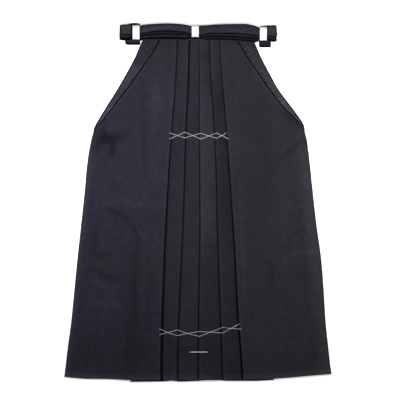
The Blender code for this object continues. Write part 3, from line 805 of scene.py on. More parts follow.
# Where a panel is free to puff: down the panel (start, run) and away from its fold (start, run)
FREE_DOWN = (0.030, 0.12)
FREE_ASIDE = (0.004, 0.06)
PANEL_CROWDING = 0.35


def panel_puff(across, down):
    """How far the middle of a panel stands up at a place, with its creases."""
    swell = PUFF_HEIGHT * (PUFF_LEAST + wander(PUFF_NOISE, across, down))
    return swell + crease_height(across, down) + soft_wave(across, down)


def panel_path(side, row, fold, hidden):
    """The outer panel from its outer edge to just before its fold."""
    down = row["down"]
    edge = at_side(row, side, "leaf")
    line = panel_profile(side, row, hidden)
    start = LEVEL / 2 + WALL / 2
    reach = abs(fold - edge) - start
    roll_tone, roll_start, roll_run = FOLD_ROLL
    points = edge_curl(side, row, read_line(line, 0.0))
    for step in range(1, PANEL_STEPS):
        share = step / PANEL_STEPS
        distance = blend(start, reach, blend(share, smooth(share), PANEL_CROWDING))
        across = edge - side * distance
        to_fold = abs(across - fold)
        free = smooth((down - FREE_DOWN[0]) / FREE_DOWN[1]) * smooth(distance / PUFF_EDGE)
        free *= smooth((to_fold - FREE_ASIDE[0]) / FREE_ASIDE[1])
        # Painted highlights on the rounded edge and along the fold, the opening's painted lines, and painted
        # shade on the rolled fold
        tone = edge_light(side, down, distance) * fold_highlight(to_fold) * opening_lines(down, distance)
        tone *= blend(roll_tone, 1.0, smooth((to_fold - roll_start) / roll_run))
        points.append((across, read_line(line, distance) + free * panel_puff(across, down), tone))
    return points


def strip_path(row, low, high, hidden, facing):
    """The strip from under the fold numbered low up to its own fold edge, numbered high."""
    down = row["down"]
    look = fold_look(low, down)
    shade = strip_tone(min(low, high), down)
    start = row[f"fold_{low}"]
    rise_run = abs(hidden - start) - FOLD_CLEAR
    run = abs(row[f"fold_{high}"] - facing * (LEVEL / 2 + WALL / 2 + STRIP_CLEAR) - start)
    stops = list(CREVICE_STOPS)
    stops += [blend(stops[-1], run, step / STRIP_STEPS) for step in range(1, STRIP_STEPS + 1)]
    points = [(start - facing * STRIP_TUCK, middle(LOW), HIDDEN_TONE)]
    for place in stops:
        height = middle(blend(LOW, TOP, smooth(place / rise_run)))
        height += STRIP_CROWN * math.sin(math.pi * place / run)
        # Painted shadow beside the fold over the strip, the strip's painted light and shade, and a painted
        # highlight along its own fold
        tone = crevice(place, look) * shade * fold_highlight(run - place)
        if low > high:
            tone *= blend(STRIP_SHADE, 1.0, smooth(place / run))
        points.append((start + facing * place, height, tone))
    return points


def centre_strip(row):
    """The strip between folds 2 and 3: it lies low, and both neighbours lap over it."""
    down = row["down"]
    start, end = row["fold_2"], row["fold_3"]
    run = end - start
    looks = fold_look(2, down), fold_look(3, down)
    shade = strip_tone(2, down)
    first = list(CREVICE_STOPS)
    stops = first + [blend(first[-1], run - first[-1], i / STRIP_STEPS) for i in range(1, STRIP_STEPS)]
    stops += [run - place for place in reversed(first)]
    points = [(start - STRIP_TUCK, middle(LOW), HIDDEN_TONE)]
    for place in stops:
        inner = min(place, run - place) - CENTRE_RISE_START
        rise = CENTRE_RISE * smooth(inner / (run * CENTRE_RISE_SHARE))
        tone = crevice(place, looks[0]) * crevice(run - place, looks[1]) * shade
        points.append((start + place, middle(LOW) + rise, tone))
    points.append((end + STRIP_TUCK, middle(LOW), HIDDEN_TONE))
    return points


# The folds of each front panel from its outer edge inwards, each with the strip whose width sets its depth
FRONT_FOLDS = {-1: {1: 1, 2: 1}, 1: {5: 4, 4: 4, 3: 3}}


def strip_width(row, strip):
    """The width of a strip, which is numbered like the fold on its left."""
    return row[f"fold_{strip + 1}"] - row[f"fold_{strip}"]


def front_path(side, row):
    """A front panel from its outer edge over its folds to the hidden centre seam."""
    numbers = list(FRONT_FOLDS[side])
    folds = [row[f"fold_{number}"] for number in numbers]
    depths = [PLEAT_SHARE * strip_width(row, strip) for strip in FRONT_FOLDS[side].values()]
    hidden = [fold + side * depth for fold, depth in zip(folds, depths)]
    path = panel_path(side, row, folds[0], hidden[0])
    for index, fold in enumerate(folds[:-1]):
        path += fold_turn(fold, middle(TOP), -side, TURN_TONES)
        path += hidden_turn(hidden[index], middle(MIDDLE), side)
        path += strip_path(row, numbers[index], numbers[index + 1], hidden[index + 1], -side)
    path += fold_turn(folds[-1], middle(TOP), -side, TURN_TONES)
    if side > 0:
        return path + [(hidden[-1], middle(MIDDLE), HIDDEN_TONE)]
    path += hidden_turn(hidden[-1], middle(MIDDLE), side)
    seam = row["fold_3"] + PLEAT_SHARE * strip_width(row, 3)
    return path + centre_strip(row) + [(seam, middle(LOW), HIDDEN_TONE)]


# The folded hem, how far its edge fades, and the painted highlight along the very hem with its width and fade
HEM_FOLD = 0.022
HEM_THICK = 0.0004
HEM_FADE = 0.003
HEM_TONE = 1.55
HEM_RIM = 0.008
HEM_RIM_FADE = 0.010


def hem_rise(to_hem):
    """The extra height of the folded hem."""
    return HEM_THICK * (1.0 - smooth((to_hem - HEM_FOLD) / HEM_FADE))


def place_pairs(pairs, down, share, hem, lift):
    """Put pairs of (across, height) on the garment. share says how far the row follows the hem."""
    placed = []
    for upper, lower, tone in pairs:
        across = (upper.x + lower.x) / 2
        reach = read_line(hem, across / MM) * MM
        here = blend(down, reach, share)
        rise = lift + hem_rise(reach - here)
        # Painted shade in the creases' troughs and painted light on their ridges
        light = tone * math.exp(CREASE_TONE * crease_height(across, here) / MM)
        # A painted highlight along the very hem
        light *= blend(1.0, HEM_TONE, 1.0 - smooth((reach - here - HEM_RIM) / HEM_RIM_FADE))
        placed.append((
            Vector((upper.x, WAIST_Y - here, upper.y + rise)),
            Vector((lower.x, WAIST_Y - here, lower.y + rise)),
            light,
        ))
    return placed


def build_front(name, side, look):
    """A front panel with its pleats and creases."""
    rows = []
    for down, share in row_places():
        row = section(blend(down, HEM_MIDDLE, share))
        pairs = offset_walls(front_path(side, row), SHELL / 2)
        rows.append(place_pairs(pairs, down, share, FRONT_HEM, front_lift(down)))
    return cloth_sheet(name, rows, look)


def leaf_depth(side, row):
    """How far the side pleat's fold reaches in under the front panel."""
    taper = blend(1.0, LEAF_TIP_SHARE, max(row["down"], 0.0) / LEAF_END)
    room = abs(at_side(row, side, "leaf") - row["fold_1" if side < 0 else "fold_5"])
    return min(LEAF_DEPTH * taper, LEAF_ROOM_SHARE * room)


# Painted light on the pleat: down in millimetres, left, right
SIDE_TONES = (
    (0, 1.0, 0.93), (32, 1.09, 1.30), (54, 1.10, 1.25), (75, 1.67, 1.55), (97, 1.66, 1.55), (118, 1.55, 1.85),
    (140, 1.42, 1.65), (161, 1.7, 1.95), (182, 2.6, 1.85), (204, 2.7, 1.65), (226, 2.6, 1.9),
)
# Painted shade across the pleat, in millimetres from the panel's edge and from the outer edge: distance,
# tone; dark under the panel's fold and at the rolled outer edge, with a painted highlight just inside it
SIDE_INNER = ((0.0, 0.0), (3.7, 0.01), (5.0, 1.0))
SIDE_OUTER = ((0.0, 0.35), (2.2, 0.62), (3.6, 0.68), (5.2, 1.12), (7.5, 1.08), (11.0, 1.0))
SIDE_STOPS = (0.0, 0.0012, 0.0024, 0.0037, 0.0044, 0.0050, 0.0060)
SIDE_STEPS = 14
# The rim's run of painted shade towards the pleat's lower end: tone, width, fade inwards, start, fade down
SIDE_RIM = (0.52, 0.0030, 0.0018, 0.140, 0.03)
SIDE_ROWS = 44
SIDE_CROWN = 0.0009
SIDE_FULL_WIDTH = 0.020
SIDE_TUCK = 0.0036
SIDE_START = 0.0010
SIDE_ROLL_STEPS = 5
# Painted shade round the rolled edge, from and to, then the tucked end beyond it: distance and tone of
# painted shade
SIDE_ROLL_TONES = (0.35, 0.1)
SIDE_END = (0.0014, 0.4)


def side_tone(down, light, place, run):
    """The painted light and shade across a side pleat whose painted light is given, at a place of its run."""
    rim, width, inward, start, fade = SIDE_RIM
    tone = light * read_line(SIDE_INNER, place / MM) * read_line(SIDE_OUTER, (run - place) / MM)
    reach = smooth((down - start) / fade) * (1.0 - smooth((run - place - width) / inward))
    return tone * blend(1.0, rim, reach)


def side_path(side, down, row):
    """The side pleat from its tuck under the panel round its hidden fold and out to its rolled edge."""
    radius = LEVEL / 2
    leaf = at_side(row, side, "leaf")
    outer = at_side(row, side, "side")
    if down > LEAF_END:
        leaf = blend(leaf, outer, LEAF_TIP_SHARE)
    depth = leaf_depth(side, row)
    light = read_line([(line[0], line[1 if side < 0 else 2]) for line in SIDE_TONES], max(down, 0.0) / MM)
    path = [(leaf - side * min(SIDE_TUCK, depth / 2), middle(2), HIDDEN_TONE)]
    path += hidden_turn(leaf - side * depth, middle(2), -side)
    start = leaf - side * SIDE_START
    end = outer - side * (radius + WALL / 2)
    run = abs(end - start)
    squeeze = min(1.0, run / SIDE_FULL_WIDTH)
    stops = [stop * squeeze for stop in SIDE_STOPS]
    stops += [blend(stops[-1], run, step / SIDE_STEPS) for step in range(1, SIDE_STEPS + 1)]
    for place in stops:
        crown = SIDE_CROWN * math.sin(math.pi * place / run) * smooth(run / SIDE_FULL_WIDTH)
        path.append((start + side * place, middle(1) + crown, side_tone(down, light, place, run)))
    steps = range(1, SIDE_ROLL_STEPS + 1)
    tones = [light * blend(*SIDE_ROLL_TONES, step / SIDE_ROLL_STEPS) for step in steps]
    path += arc((end, middle(1) - radius), (side * radius, radius), math.pi, 1, SIDE_ROLL_STEPS, tones)
    return path + [(end - side * SIDE_END[0], middle(1) - LEVEL, SIDE_END[1])]


def build_side_pleat(name, side, look):
    """The leaf-shaped pleat beside the opening, with its rolled edge."""
    rows = []
    for index in range(SIDE_ROWS + 1):
        down = blend(-WAIST_TUCK, LEAF_END + LEAF_TIP_RUN, index / SIDE_ROWS)
        path = side_path(side, down, section(min(down, LEAF_END)))
        rows.append(place_pairs(offset_walls(path, SHELL / 2), down, 0.0, FRONT_HEM, front_lift(down)))
    return cloth_sheet(name, rows, look)


# The back panels: steps across, one row in how many is kept, and the place of the centre seam
BACK_STEPS = 26
BACK_EVERY = 3
BACK_CENTRE = 0.0001
BACK_HEM_SHORTER = 0.6
# The centre seam: half width, height, tone
BACK_SEAM = (0.001, 0.0002, 0.8)


def build_back(name, side, look):
    """A back leg panel, flat on the surface, from the centre seam to the side seam."""
    seam_half, seam_rise, seam_tone = BACK_SEAM
    hem = [(across, down - BACK_HEM_SHORTER) for across, down in FRONT_HEM]
    rows = []
    for index, (down, share) in enumerate(row_places()):
        if index % BACK_EVERY and 0.0 < down < HEM_START:
            continue
        row = section(blend(down, HEM_MIDDLE, share))
        inset = BACK_INSET * (1.0 - smooth((down - BACK_INSET_END) / BACK_INSET_RUN))
        outer = at_side(row, side, "side") - side * (BACK_SEAM_INSET + inset)
        path = []
        for step in range(BACK_STEPS + 1):
            across = blend(outer, side * BACK_CENTRE, step / BACK_STEPS)
            rise, tone = (seam_rise, seam_tone) if abs(across) < seam_half else (0.0, 1.0)
            path.append((across, SHELL / 2 + rise, tone))
        rows.append(place_pairs(offset_walls(path, SHELL / 2), down, share, hem, back_lift(down)))
    return cloth_sheet(name, rows, look)


INNER_ROWS = 54
INNER_HEM_ROWS = 6
INNER_STEPS = 24
INNER_SEAM = 0.0001
# Painted shade on the inner leg, which lies under the front panels: inside, and darker at its edges
INNER_TONES = (0.9, 0.7)


def build_inner_leg(name, side, look):
    """The inner side of a leg, between front and back."""
    centre = INNER_CENTRE + side * INNER_SEAM
    inside, rim = INNER_TONES
    rows = []
    for index in range(INNER_ROWS + INNER_HEM_ROWS + 1):
        down = blend(CROTCH_DOWN + GAP, HEM_START, min(index / INNER_ROWS, 1.0))
        share = max(index - INNER_ROWS, 0) / INNER_HEM_ROWS
        outer = inner_edge(side, blend(down, INNER_HEM_DOWN, share))
        path = []
        for step in range(INNER_STEPS + 1):
            tone = inside if 0 < step < INNER_STEPS else rim
            path.append((blend(outer, centre, step / INNER_STEPS), middle(1), tone))
        rows.append(place_pairs(offset_walls(path, SHELL / 2), down, share, INNER_HEM, 0.0))
    return cloth_sheet(name, rows, look)


GUSSET_ROWS = 8
GUSSET_STEPS = 12
# Painted shade on the gusset, which lies out of sight between the legs
GUSSET_TONE = 0.8


def build_gusset(look):
    """The gusset between the legs, out of sight."""
    rows = []
    for index in range(GUSSET_ROWS + 1):
        share = index / GUSSET_ROWS
        half = blend(GUSSET_HALF_TOP, GUSSET_HALF_BOTTOM, share)
        places = [blend(-half, half, step / GUSSET_STEPS) for step in range(GUSSET_STEPS + 1)]
        path = [(across, middle(1), GUSSET_TONE) for across in places]
        down = blend(GUSSET_TOP, CROTCH_DOWN, share)
        rows.append(place_pairs(offset_walls(path, SHELL / 2), down, 0.0, FRONT_HEM, 0.0))
    return cloth_sheet("crotch_gusset", rows, look)


# The waistbands: ends across, and the levels of their two runs
BANDS = {"front_waistband": ((-0.1500, 0.1505), (3, 8)), "back_waistband": ((-0.1456, 0.1456), (0, 2))}
BAND_ROOM = 0.001
BAND_TONE = 0.9
BAND_TURN_STEPS = 12
BAND_STEPS = 60
# The slow waves of a band's edges, without their seed
BAND_WAVE = (0.00015, 40.0, 0.0)
# The upper run of a waistband below the straps: up in millimetres, drop, tone; the tones hold a painted
# highlight along its turned edge and painted shadow under the straps
BAND_RIM = (
    (5.1, 0.7, 0.5), (4.5, 0.3, 0.8), (5.1, 0.0, 1.2), (6.2, 0.0, 1.05), (7.6, 0.0, 0.9),
    (8.6, 0.0, 0.05), (12.5, 0.0, 0.05), (14.0, 0.0, 0.5),
)
BAND_RUN = (0.25, 0.5, 0.75, 1.0)


def build_band(name, look):
    """A waistband folded over the top edge of the panels, with a turned lower edge in the straps' painted
    shade.
    """
    ends, levels = BANDS[name]
    low, high = (middle(level) for level in levels)
    top = WAIST_TUCK + BAND_ROOM
    radius = (high - low) / 2
    tones = [BAND_TONE] * (BAND_TURN_STEPS - 1)
    path = [(up * MM, high - drop * MM, tone) for up, drop, tone in BAND_RIM]
    rim, shaded = path[0][0], path[-1][0]
    path += [(blend(shaded, top, share), high, BAND_TONE) for share in BAND_RUN]
    path += arc((top, low + radius), (radius, radius), math.pi, 1, BAND_TURN_STEPS, tones)
    path += [(blend(top, rim, share), low, BAND_TONE) for share in (0.0, *BAND_RUN)]
    pairs = offset_walls(path, SHELL / 2)
    rows = []
    for index in range(BAND_STEPS + 1):
        across = blend(*ends, index / BAND_STEPS)
        rows.append(stand_pairs(across, pairs, wander((*BAND_WAVE, levels[1]), across, 0.0)))
    return cloth_sheet(name, rows, look)


# The folded straps

STRAP_TABLE = {name: [row[i] * MM for row in STRAP_ROWS] for i, name in enumerate(STRAP_COLUMNS)}


def strap_at(across):
    """The fold's sizes at any place along it."""
    places = STRAP_TABLE["across"]
    held = min(max(across, places[0]), places[-1])
    made = {"across": held}
    for name in STRAP_COLUMNS[1:]:
        made[name] = hermite(places, STRAP_TABLE[name], held, None)
    return made


def strap_rest(across):
    """The height of the fold's underside: its free ends sag."""
    return STRAP_REST - STRAP_SAG * smooth((abs(across) - STRAP_SAG_START) / STRAP_SAG_RUN)


# How far a paper band gathers the straps, and the looks of the gathers and of the waves between them
GATHER_REACH = 0.022
GATHER_NOISE = (0.00045, 260.0, 60.0, 0.4)
PUCKER_NOISE = (0.0007, 22.0, 110.0, 5.1)
CORNER_SHARE = 0.45


def band_nearness(across):
    """1 at a paper band, falling to 0 away from it."""
    near = 1.0
    for start, end in PAPER_BANDS.values():
        near = min(near, max(start - across, across - end, 0.0) / GATHER_REACH)
    return 1.0 - smooth(near)


def pucker(across, up):
    """Small gathers of the strap cloth beside the paper bands, and slow waves between them."""
    return band_nearness(across) * wander(GATHER_NOISE, across, up) + wander(PUCKER_NOISE, across, up)


def rounded(corners, radius, steps):
    """Round each corner of a closed outline with a short curve."""
    points = []
    count = len(corners)
    for index in range(count):
        here = Vector(corners[index])
        before = Vector(corners[index - 1]) - here
        after = Vector(corners[(index + 1) % count]) - here
        cut = min(radius, before.length * CORNER_SHARE, after.length * CORNER_SHARE)
        start = here + before.normalized() * cut
        end = here + after.normalized() * cut
        for step in range(steps + 1):
            t = step / steps
            points.append(start * (1 - t) ** 2 + here * 2 * t * (1 - t) + end * t ** 2)
    return points


def face_lip(across):
    """How far up the lower lip of the outer run lies."""
    places = [place * MM for place, _ in FACE_LIP]
    return hermite(places, [up * MM for _, up in FACE_LIP], across, None)


def face_fold(across, up):
    """The height of the listed folds of the outer run at a place."""
    return sum_of_folds(FACE_FOLDS, across / MM, up / MM) * MM


CORE_STEPS = 320
# Where the left layers end and the right ones begin
CORE_SPLIT = -0.0075
# The core's foot: how far up from the lower edge, and its tone of painted shade
CORE_FOOT = (0.002, 0.2)
CORE_CALM = 0.8
CORE_WAVE = (0.0009, 17.0, 3.0, 2.0)
CORE_PATCH = (0.25, 60.0, 0.4, 6.0)
# How many points make one layer, and how soon the layers' waves start above the lower edge
LAYER_POINTS = 8
LAYER_START = 8
# The core behind the lip: up from the lip, down from the outer run, tone of painted shade
CORE_FACE = ((0.0012, 0.0055, 0.10), (0.0020, 0.0030, 0.2), (0.0080, 0.0004, 0.4))
CORE_SLOPE = 0.007
# Painted shade on the core's back, out of sight
CORE_BACK_TONES = (0.4, 0.4, 0.3)


def core_outline(across):
    """The strap layers' outline at a place along them, as (up, height, tone)."""
    row = strap_at(across)
    base = strap_rest(across)
    low, thick = row["low"], row["thick"]
    lip = face_lip(across)
    calm = 1.0 - CORE_CALM * band_nearness(across)
    outline = [(low + CORE_FOOT[0], base, CORE_FOOT[1])]
    for number, (share, height, tone) in enumerate(LEFT_LAYERS if across < CORE_SPLIT else RIGHT_LAYERS):
        up = blend(low, lip, share)
        wave = calm * wander(CORE_WAVE, across, number // LAYER_POINTS)
        patch = 1.0 + wander(CORE_PATCH, across, number)
        # Painted shade in the outer run's fold troughs and painted light on their ridges
        gather = math.exp(FACE_TONE * face_fold(across, up) / MM)
        place = up + wave * min(share * LAYER_START, 1.0)
        outline.append((place, base + thick * height, tone * patch * gather))
    inset = STRAP_WALL + GAP
    face = base + thick - inset
    back = row["high"] - inset
    outline += [(lip + up, face - drop, tone) for up, drop, tone in CORE_FACE]
    ends = ((back - CORE_SLOPE, face), (back, face - CORE_SLOPE), (back, base))
    return outline + [(up, height, tone) for (up, height), tone in zip(ends, CORE_BACK_TONES)]


def build_strap_core(look):
    """The strap layers under the outer run, each with a rolled lower edge and a groove above it, in painted
    light and shade.
    """
    loops = []
    tones = []
    for index in range(CORE_STEPS + 1):
        across = blend(*CORE_ENDS, index / CORE_STEPS)
        outline = core_outline(across)
        loops.append([Vector((across, WAIST_Y + up, height)) for up, height, _ in outline])
        tones.append([tone for _, _, tone in outline])
    return loft_solid("strap_core", loops, tones, look, ("strap_core",))


FACE_ROWS = 190
FACE_STEPS = 19
# The outer run's folded lower edge: radius, steps, tones of painted shade under the fold and painted
# highlight on its top, and the end tucked in behind it (distance, tone of painted shade)
FACE_ROLL = 0.0010
FACE_ROLL_STEPS = 6
FACE_ROLL_TONES = (0.12, 1.25)
FACE_ROLL_FADE = 5
FACE_TUCK = (0.0042, 0.2)
# Its face: height of the crown, how far the paper bands press it down, and how fully it takes the folds
FACE_CROWN = 0.0012
FACE_PRESS = 0.6
FACE_TAKE = 0.8
FACE_TAKE_SHARE = 0.1
# A painted highlight just above the folded lower edge: tone and run
FACE_RIM = (1.20, 0.0026)
# Its rounded upper edge: width, height, steps, and the tone of painted shade at the end where it turns away
FACE_EDGE_WIDTH = 0.0085
FACE_EDGE_HEIGHT = 0.0078
FACE_EDGE_STEPS = 7
FACE_EDGE_TONE = 0.40
# The run's end tucked behind: height above the base, tone of painted shade
FACE_END = (0.0010, 0.3)


def face_path(across, light):
    """The outer run at a place along it, from its folded lower edge over the face and down behind."""
    row = strap_at(across)
    base = strap_rest(across)
    top = base + row["thick"] - STRAP_WALL / 2
    drop = sum(depth * bell(across, place, FACE_DROP_RUN) for place, depth in FACE_DROPS)
    outer = row["high"] - drop - STRAP_WALL / 2
    lip = face_lip(across) + STRAP_WALL / 2
    start = lip + FACE_ROLL
    end = outer - FACE_EDGE_WIDTH
    dark, bright = FACE_ROLL_TONES
    roll_tones = [
        blend(dark, bright * light, smooth(step / FACE_ROLL_FADE)) for step in range(FACE_ROLL_STEPS, -1, -1)
    ]
    roll = arc((start, top - FACE_ROLL), (-FACE_ROLL, FACE_ROLL), math.pi, 0, FACE_ROLL_STEPS, roll_tones)
    path = [(lip + FACE_TUCK[0], top - 2 * FACE_ROLL, FACE_TUCK[1])] + roll[::-1]
    crown = FACE_CROWN * (1.0 - FACE_PRESS * band_nearness(across))
    for step in range(1, FACE_STEPS):
        share = step / FACE_STEPS
        up = blend(start, end, share)
        fold = face_fold(across, up)
        height = top + math.sin(math.pi * share) * (crown + pucker(across, up))
        height += fold * FACE_TAKE * smooth(share / FACE_TAKE_SHARE)
        # A painted highlight above the folded lower edge, and painted shade and light from the folds
        tone = blend(FACE_RIM[0], 1.0, smooth((up - start) / FACE_RIM[1])) * math.exp(FACE_TONE * fold / MM)
        path.append((up, height, tone * light))
    edge_tones = [
        light * blend(1.0, FACE_EDGE_TONE, smooth(step / (FACE_EDGE_STEPS - 1)))
        for step in range(1, FACE_EDGE_STEPS + 1)
    ]
    edge_size = (outer - end, FACE_EDGE_HEIGHT)
    path += arc((end, top - FACE_EDGE_HEIGHT), edge_size, math.pi / 2, 1, FACE_EDGE_STEPS, edge_tones)
    return path + [(outer, base + FACE_END[0], FACE_END[1])]


def build_front_strap(name, look):
    """The outer run of the strap over the upper half of the fold, with its folded lower edge."""
    start, end, light = FRONT_STRAPS[name]
    rows = []
    for index in range(FACE_ROWS + 1):
        across = blend(start, end, index / FACE_ROWS)
        rows.append(stand_pairs(across, offset_walls(face_path(across, light), STRAP_WALL / 2)))
    return cloth_sheet(name, rows, look)


# The turned ends: where each starts, and the side that it faces
LOOPS = {"strap_loop_left": (-0.1770, -1), "strap_loop_right": (0.1862, 1)}
LOOP_ROWS = 44
LOOP_STEPS = 14
# How much of the way out is flat, before the turn
LOOP_FLAT = 0.78
LOOP_RIB = 0.0033
LOOP_RIB_HEIGHT = 0.0003
LOOP_RIB_NOISE = (2.0, 2.0, 80.0, 4.0)
LOOP_WAVE = (0.0005, 90.0, 3.0, 8.0)
LOOP_TURN_STEPS = 12
LOOP_TURN_FADE = 5
# Painted shade round the loop's turn and on its underside
LOOP_TURN_TONE = 0.15
LOOP_UNDER_TONE = 0.5
# Across the strap's width: the lower layer, the groove over it, then the face: share, drop, tone; the tones
# are painted shade on the lower layer and in the groove and painted light on the face
LOOP_LAYERS = (
    (0.00, 0.0040, 0.02), (0.07, 0.0033, 0.02), (0.13, 0.0028, 0.03), (0.17, 0.0025, 0.25),
    (0.21, 0.0024, 0.50), (0.26, 0.0024, 0.75), (0.29, 0.0028, 0.50), (0.32, 0.0034, 0.16),
    (0.35, 0.0024, 0.16), (0.38, 0.0006, 0.70), (0.43, 0.0, 1.05), (0.85, 0.0, 1.15),
    (0.95, 0.0004, 1.00), (1.00, 0.0024, 0.35),
)
# How much painted light each loop's face takes, and how far its layers are shifted up
LOOP_LIGHT = {-1: 1.25, 1: 1.20}
LOOP_SHIFT = {-1: 0.0, 1: 0.04}
# How far out each loop reaches, up the strap's width: share, across in millimetres
LOOP_EDGES = {
    -1: ((0.0, -210.8), (0.35, -210.8), (0.60, -210.1), (1.0, -209.8)),
    1: ((0.0, 210.8), (0.10, 211.2), (0.22, 210.9), (0.30, 211.5), (0.38, 212.9), (0.45, 213.0),
        (0.55, 211.9), (0.75, 211.2), (1.0, 210.3)),
}
# The painted shadow beside the paper band at each loop's inner end: start and run, then its tone
LOOP_SHADE = {-1: (0.0014, 0.0028), 1: (0.0004, 0.0028)}
LOOP_SHADE_TONE = 0.04
# Painted light on the ribs' crests and painted shade between them
LOOP_STREAK = 0.38


def loop_path(inner, facing, share):
    """A turned end at a share of the straps' width: out over the layers, round their end and back under."""
    outer = read_line(LOOP_EDGES[facing], share) * MM
    drop, layer_tone = (
        read_line([(row[0], row[column]) for row in LOOP_LAYERS], share + LOOP_SHIFT[facing])
        for column in (1, 2)
    )
    shade_start, shade_run = LOOP_SHADE[facing]
    room = GAP + STRAP_WALL / 2
    places = [blend(inner, outer, LOOP_FLAT * step / (LOOP_STEPS - 1)) for step in range(LOOP_STEPS)]
    path = []
    for across in places:
        rib = math.sin(across / LOOP_RIB * 2 * math.pi + wander(LOOP_RIB_NOISE, share, across))
        edge = smooth((abs(across - inner) - shade_start) / shade_run)
        height = strap_rest(across) + strap_at(across)["thick"] + room - drop
        height += edge * (LOOP_RIB_HEIGHT * rib + wander(LOOP_WAVE, across, share))
        tone = layer_tone * LOOP_LIGHT[facing] * blend(LOOP_SHADE_TONE, 1.0, edge)
        path.append((across, height, tone * (1.0 + LOOP_STREAK * rib)))
    last, high, last_tone = path[-1]
    low = strap_rest(outer) - room
    radius = (high - low) / 2
    size = (facing * (abs(outer - last) - STRAP_WALL / 2), radius)
    tones = [
        blend(last_tone, LOOP_TURN_TONE, smooth(step / LOOP_TURN_FADE)) for step in range(1, LOOP_TURN_STEPS)
    ]
    path += arc((last, low + radius), size, math.pi, 1, LOOP_TURN_STEPS, tones)
    return path + [(across, strap_rest(across) - room, LOOP_UNDER_TONE) for across in places[::-1]]


def build_loop(name, look):
    """The turned end of the straps, through the whole of their width."""
    inner, facing = LOOPS[name]
    rows = []
    for index in range(LOOP_ROWS + 1):
        share = index / LOOP_ROWS
        placed = []
        for a, b, tone in offset_walls(loop_path(inner, facing, share), STRAP_WALL / 2):
            row = strap_at((a.x + b.x) / 2)
            up = WAIST_Y + blend(row["low"], row["high"], share)
            placed.append((Vector((a.x, up, a.y)), Vector((b.x, up, b.y)), tone))
        rows.append(placed)
    return cloth_sheet(name, rows, look)


PAPER_STEPS = 6
PAPER_CROWN = 0.0004
PAPER_RIDGE = 0.0006
PAPER_SLOPE = 0.005
PAPER_CORNER = 0.0016
PAPER_CORNER_STEPS = 3
PAPER_FRONT = 0.36
PAPER_TURN = 0.33
# A painted shade line along the paper's top edge: its width and tone
PAPER_SHADE = 0.0022
PAPER_EDGE = 0.45


def paper_outline(row, base, crown, grow):
    """The paper's outline round the straps, grown outwards by a distance."""
    low, high = row["low"], row["high"]
    top = base + row["thick"]
    corners = [
        (low - grow, base - grow),
        (low - grow, base + row["thick"] * PAPER_FRONT + grow),
        (blend(low, high, PAPER_TURN) - grow, top + grow + crown),
        (high - PAPER_SLOPE, top + grow + crown + PAPER_RIDGE),
        (high + grow, top - PAPER_SLOPE),
        (high + grow, base - grow),
    ]
    return rounded(corners, PAPER_CORNER, PAPER_CORNER_STEPS)


def build_paper_band(name, look):
    """A paper band drawn tight round the folded straps, with painted shade along its top edge."""
    rows = []
    for step in range(PAPER_STEPS + 1):
        across = blend(*PAPER_BANDS[name], step / PAPER_STEPS)
        row = strap_at(across)
        base = strap_rest(across)
        crown = PAPER_CROWN * math.sin(math.pi * step / PAPER_STEPS)
        inner, outer = (paper_outline(row, base, crown, grow) for grow in (GAP, GAP + PAPER))
        shade = row["high"] - PAPER_SHADE
        tones = [blend(1.0, PAPER_EDGE, smooth((point.x - shade) / PAPER_SHADE)) for point in inner]
        rows.append(stand_pairs(across, zip(inner, outer, tones)))
    return loft_wall(name, rows, look, (name,), closed=True)


# Painted light and shade on each back strap: how light it is inside, the painted shade at its edges, and the
# place of the end that lies in painted shade
BACK_STRAP_TONES = {"back_strap_left": (0.98, 0.02, -0.1548), "back_strap_right": (0.66, 0.30, 0.1641)}


BACK_STRAP_ROWS = 60
BACK_STRAP_STEPS = 30
# The painted shade at a back strap's end: tone, start, run
BACK_STRAP_SHADE = (0.08, 0.0008, 0.0030)
# Its thinner edges, in shares of the width: start, run, run of the upper one, share of the thickness
BACK_STRAP_RIM = (0.075, 0.045, 0.04, 0.35)
BACK_STRAP_RIBS = (0.00012, 42.0)
BACK_STRAP_PATCH = (0.4, 90.0, 16.0, 2.0)


def build_back_strap(name, look):
    """A doubled strap of the back band, flat under the fold."""
    table = [[size * MM for size in row] for row in BACK_STRAPS[name]]
    interior, edge, end = BACK_STRAP_TONES[name]
    dark, shade_start, shade_run = BACK_STRAP_SHADE
    rim_start, rim_run, rim_end, thin = BACK_STRAP_RIM
    rib_height, ribs = BACK_STRAP_RIBS
    rows = []
    for index in range(BACK_STRAP_ROWS + 1):
        across = blend(table[0][0], table[-1][0], index / BACK_STRAP_ROWS)
        low, high, height = (
            read_line([(row[0], row[column]) for row in table], across) for column in (1, 2, 3)
        )
        shade = blend(dark, 1.0, smooth((abs(across - end) - shade_start) / shade_run))
        pairs = []
        for step in range(BACK_STRAP_STEPS + 1):
            share = step / BACK_STRAP_STEPS
            rim = smooth((share - rim_start) / rim_run) * smooth((1.0 - share) / rim_end)
            half = BACK_STRAP_WALL / 2 * blend(thin, 1.0, rim)
            up = blend(low, high, share)
            rib = rib_height * math.sin(share * ribs)
            tone = blend(edge, interior, rim) * shade * (1.0 + wander(BACK_STRAP_PATCH, across, share))
            pairs.append((Vector((up, height + half + rib)), Vector((up, height - half)), tone))
        rows.append(stand_pairs(across, pairs))
    return cloth_sheet(name, rows, look)


# Threads

def picture_place(across, down):
    """A place of the photograph on the garment, in metres."""
    return (across - PIXEL_X0) * PIXEL, (PIXEL_Y0 - down) * PIXEL


def surface_over(pieces):
    """A tree of the pieces' faces, for finding the top of the cloth."""
    points = []
    faces = []
    for piece in pieces:
        start = len(points)
        points += [vertex.co.copy() for vertex in piece.data.vertices]
        faces += [tuple(start + i for i in face.vertices) for face in piece.data.polygons]
    return BVHTree.FromPolygons(points, faces)


def top_at(tree, across, up):
    """The height of the cloth's top at a place."""
    hit = tree.ray_cast(Vector((across, up, ABOVE_ALL)), Vector((0.0, 0.0, -1.0)))[0]
    return hit.z if hit else CLOTH_TOP


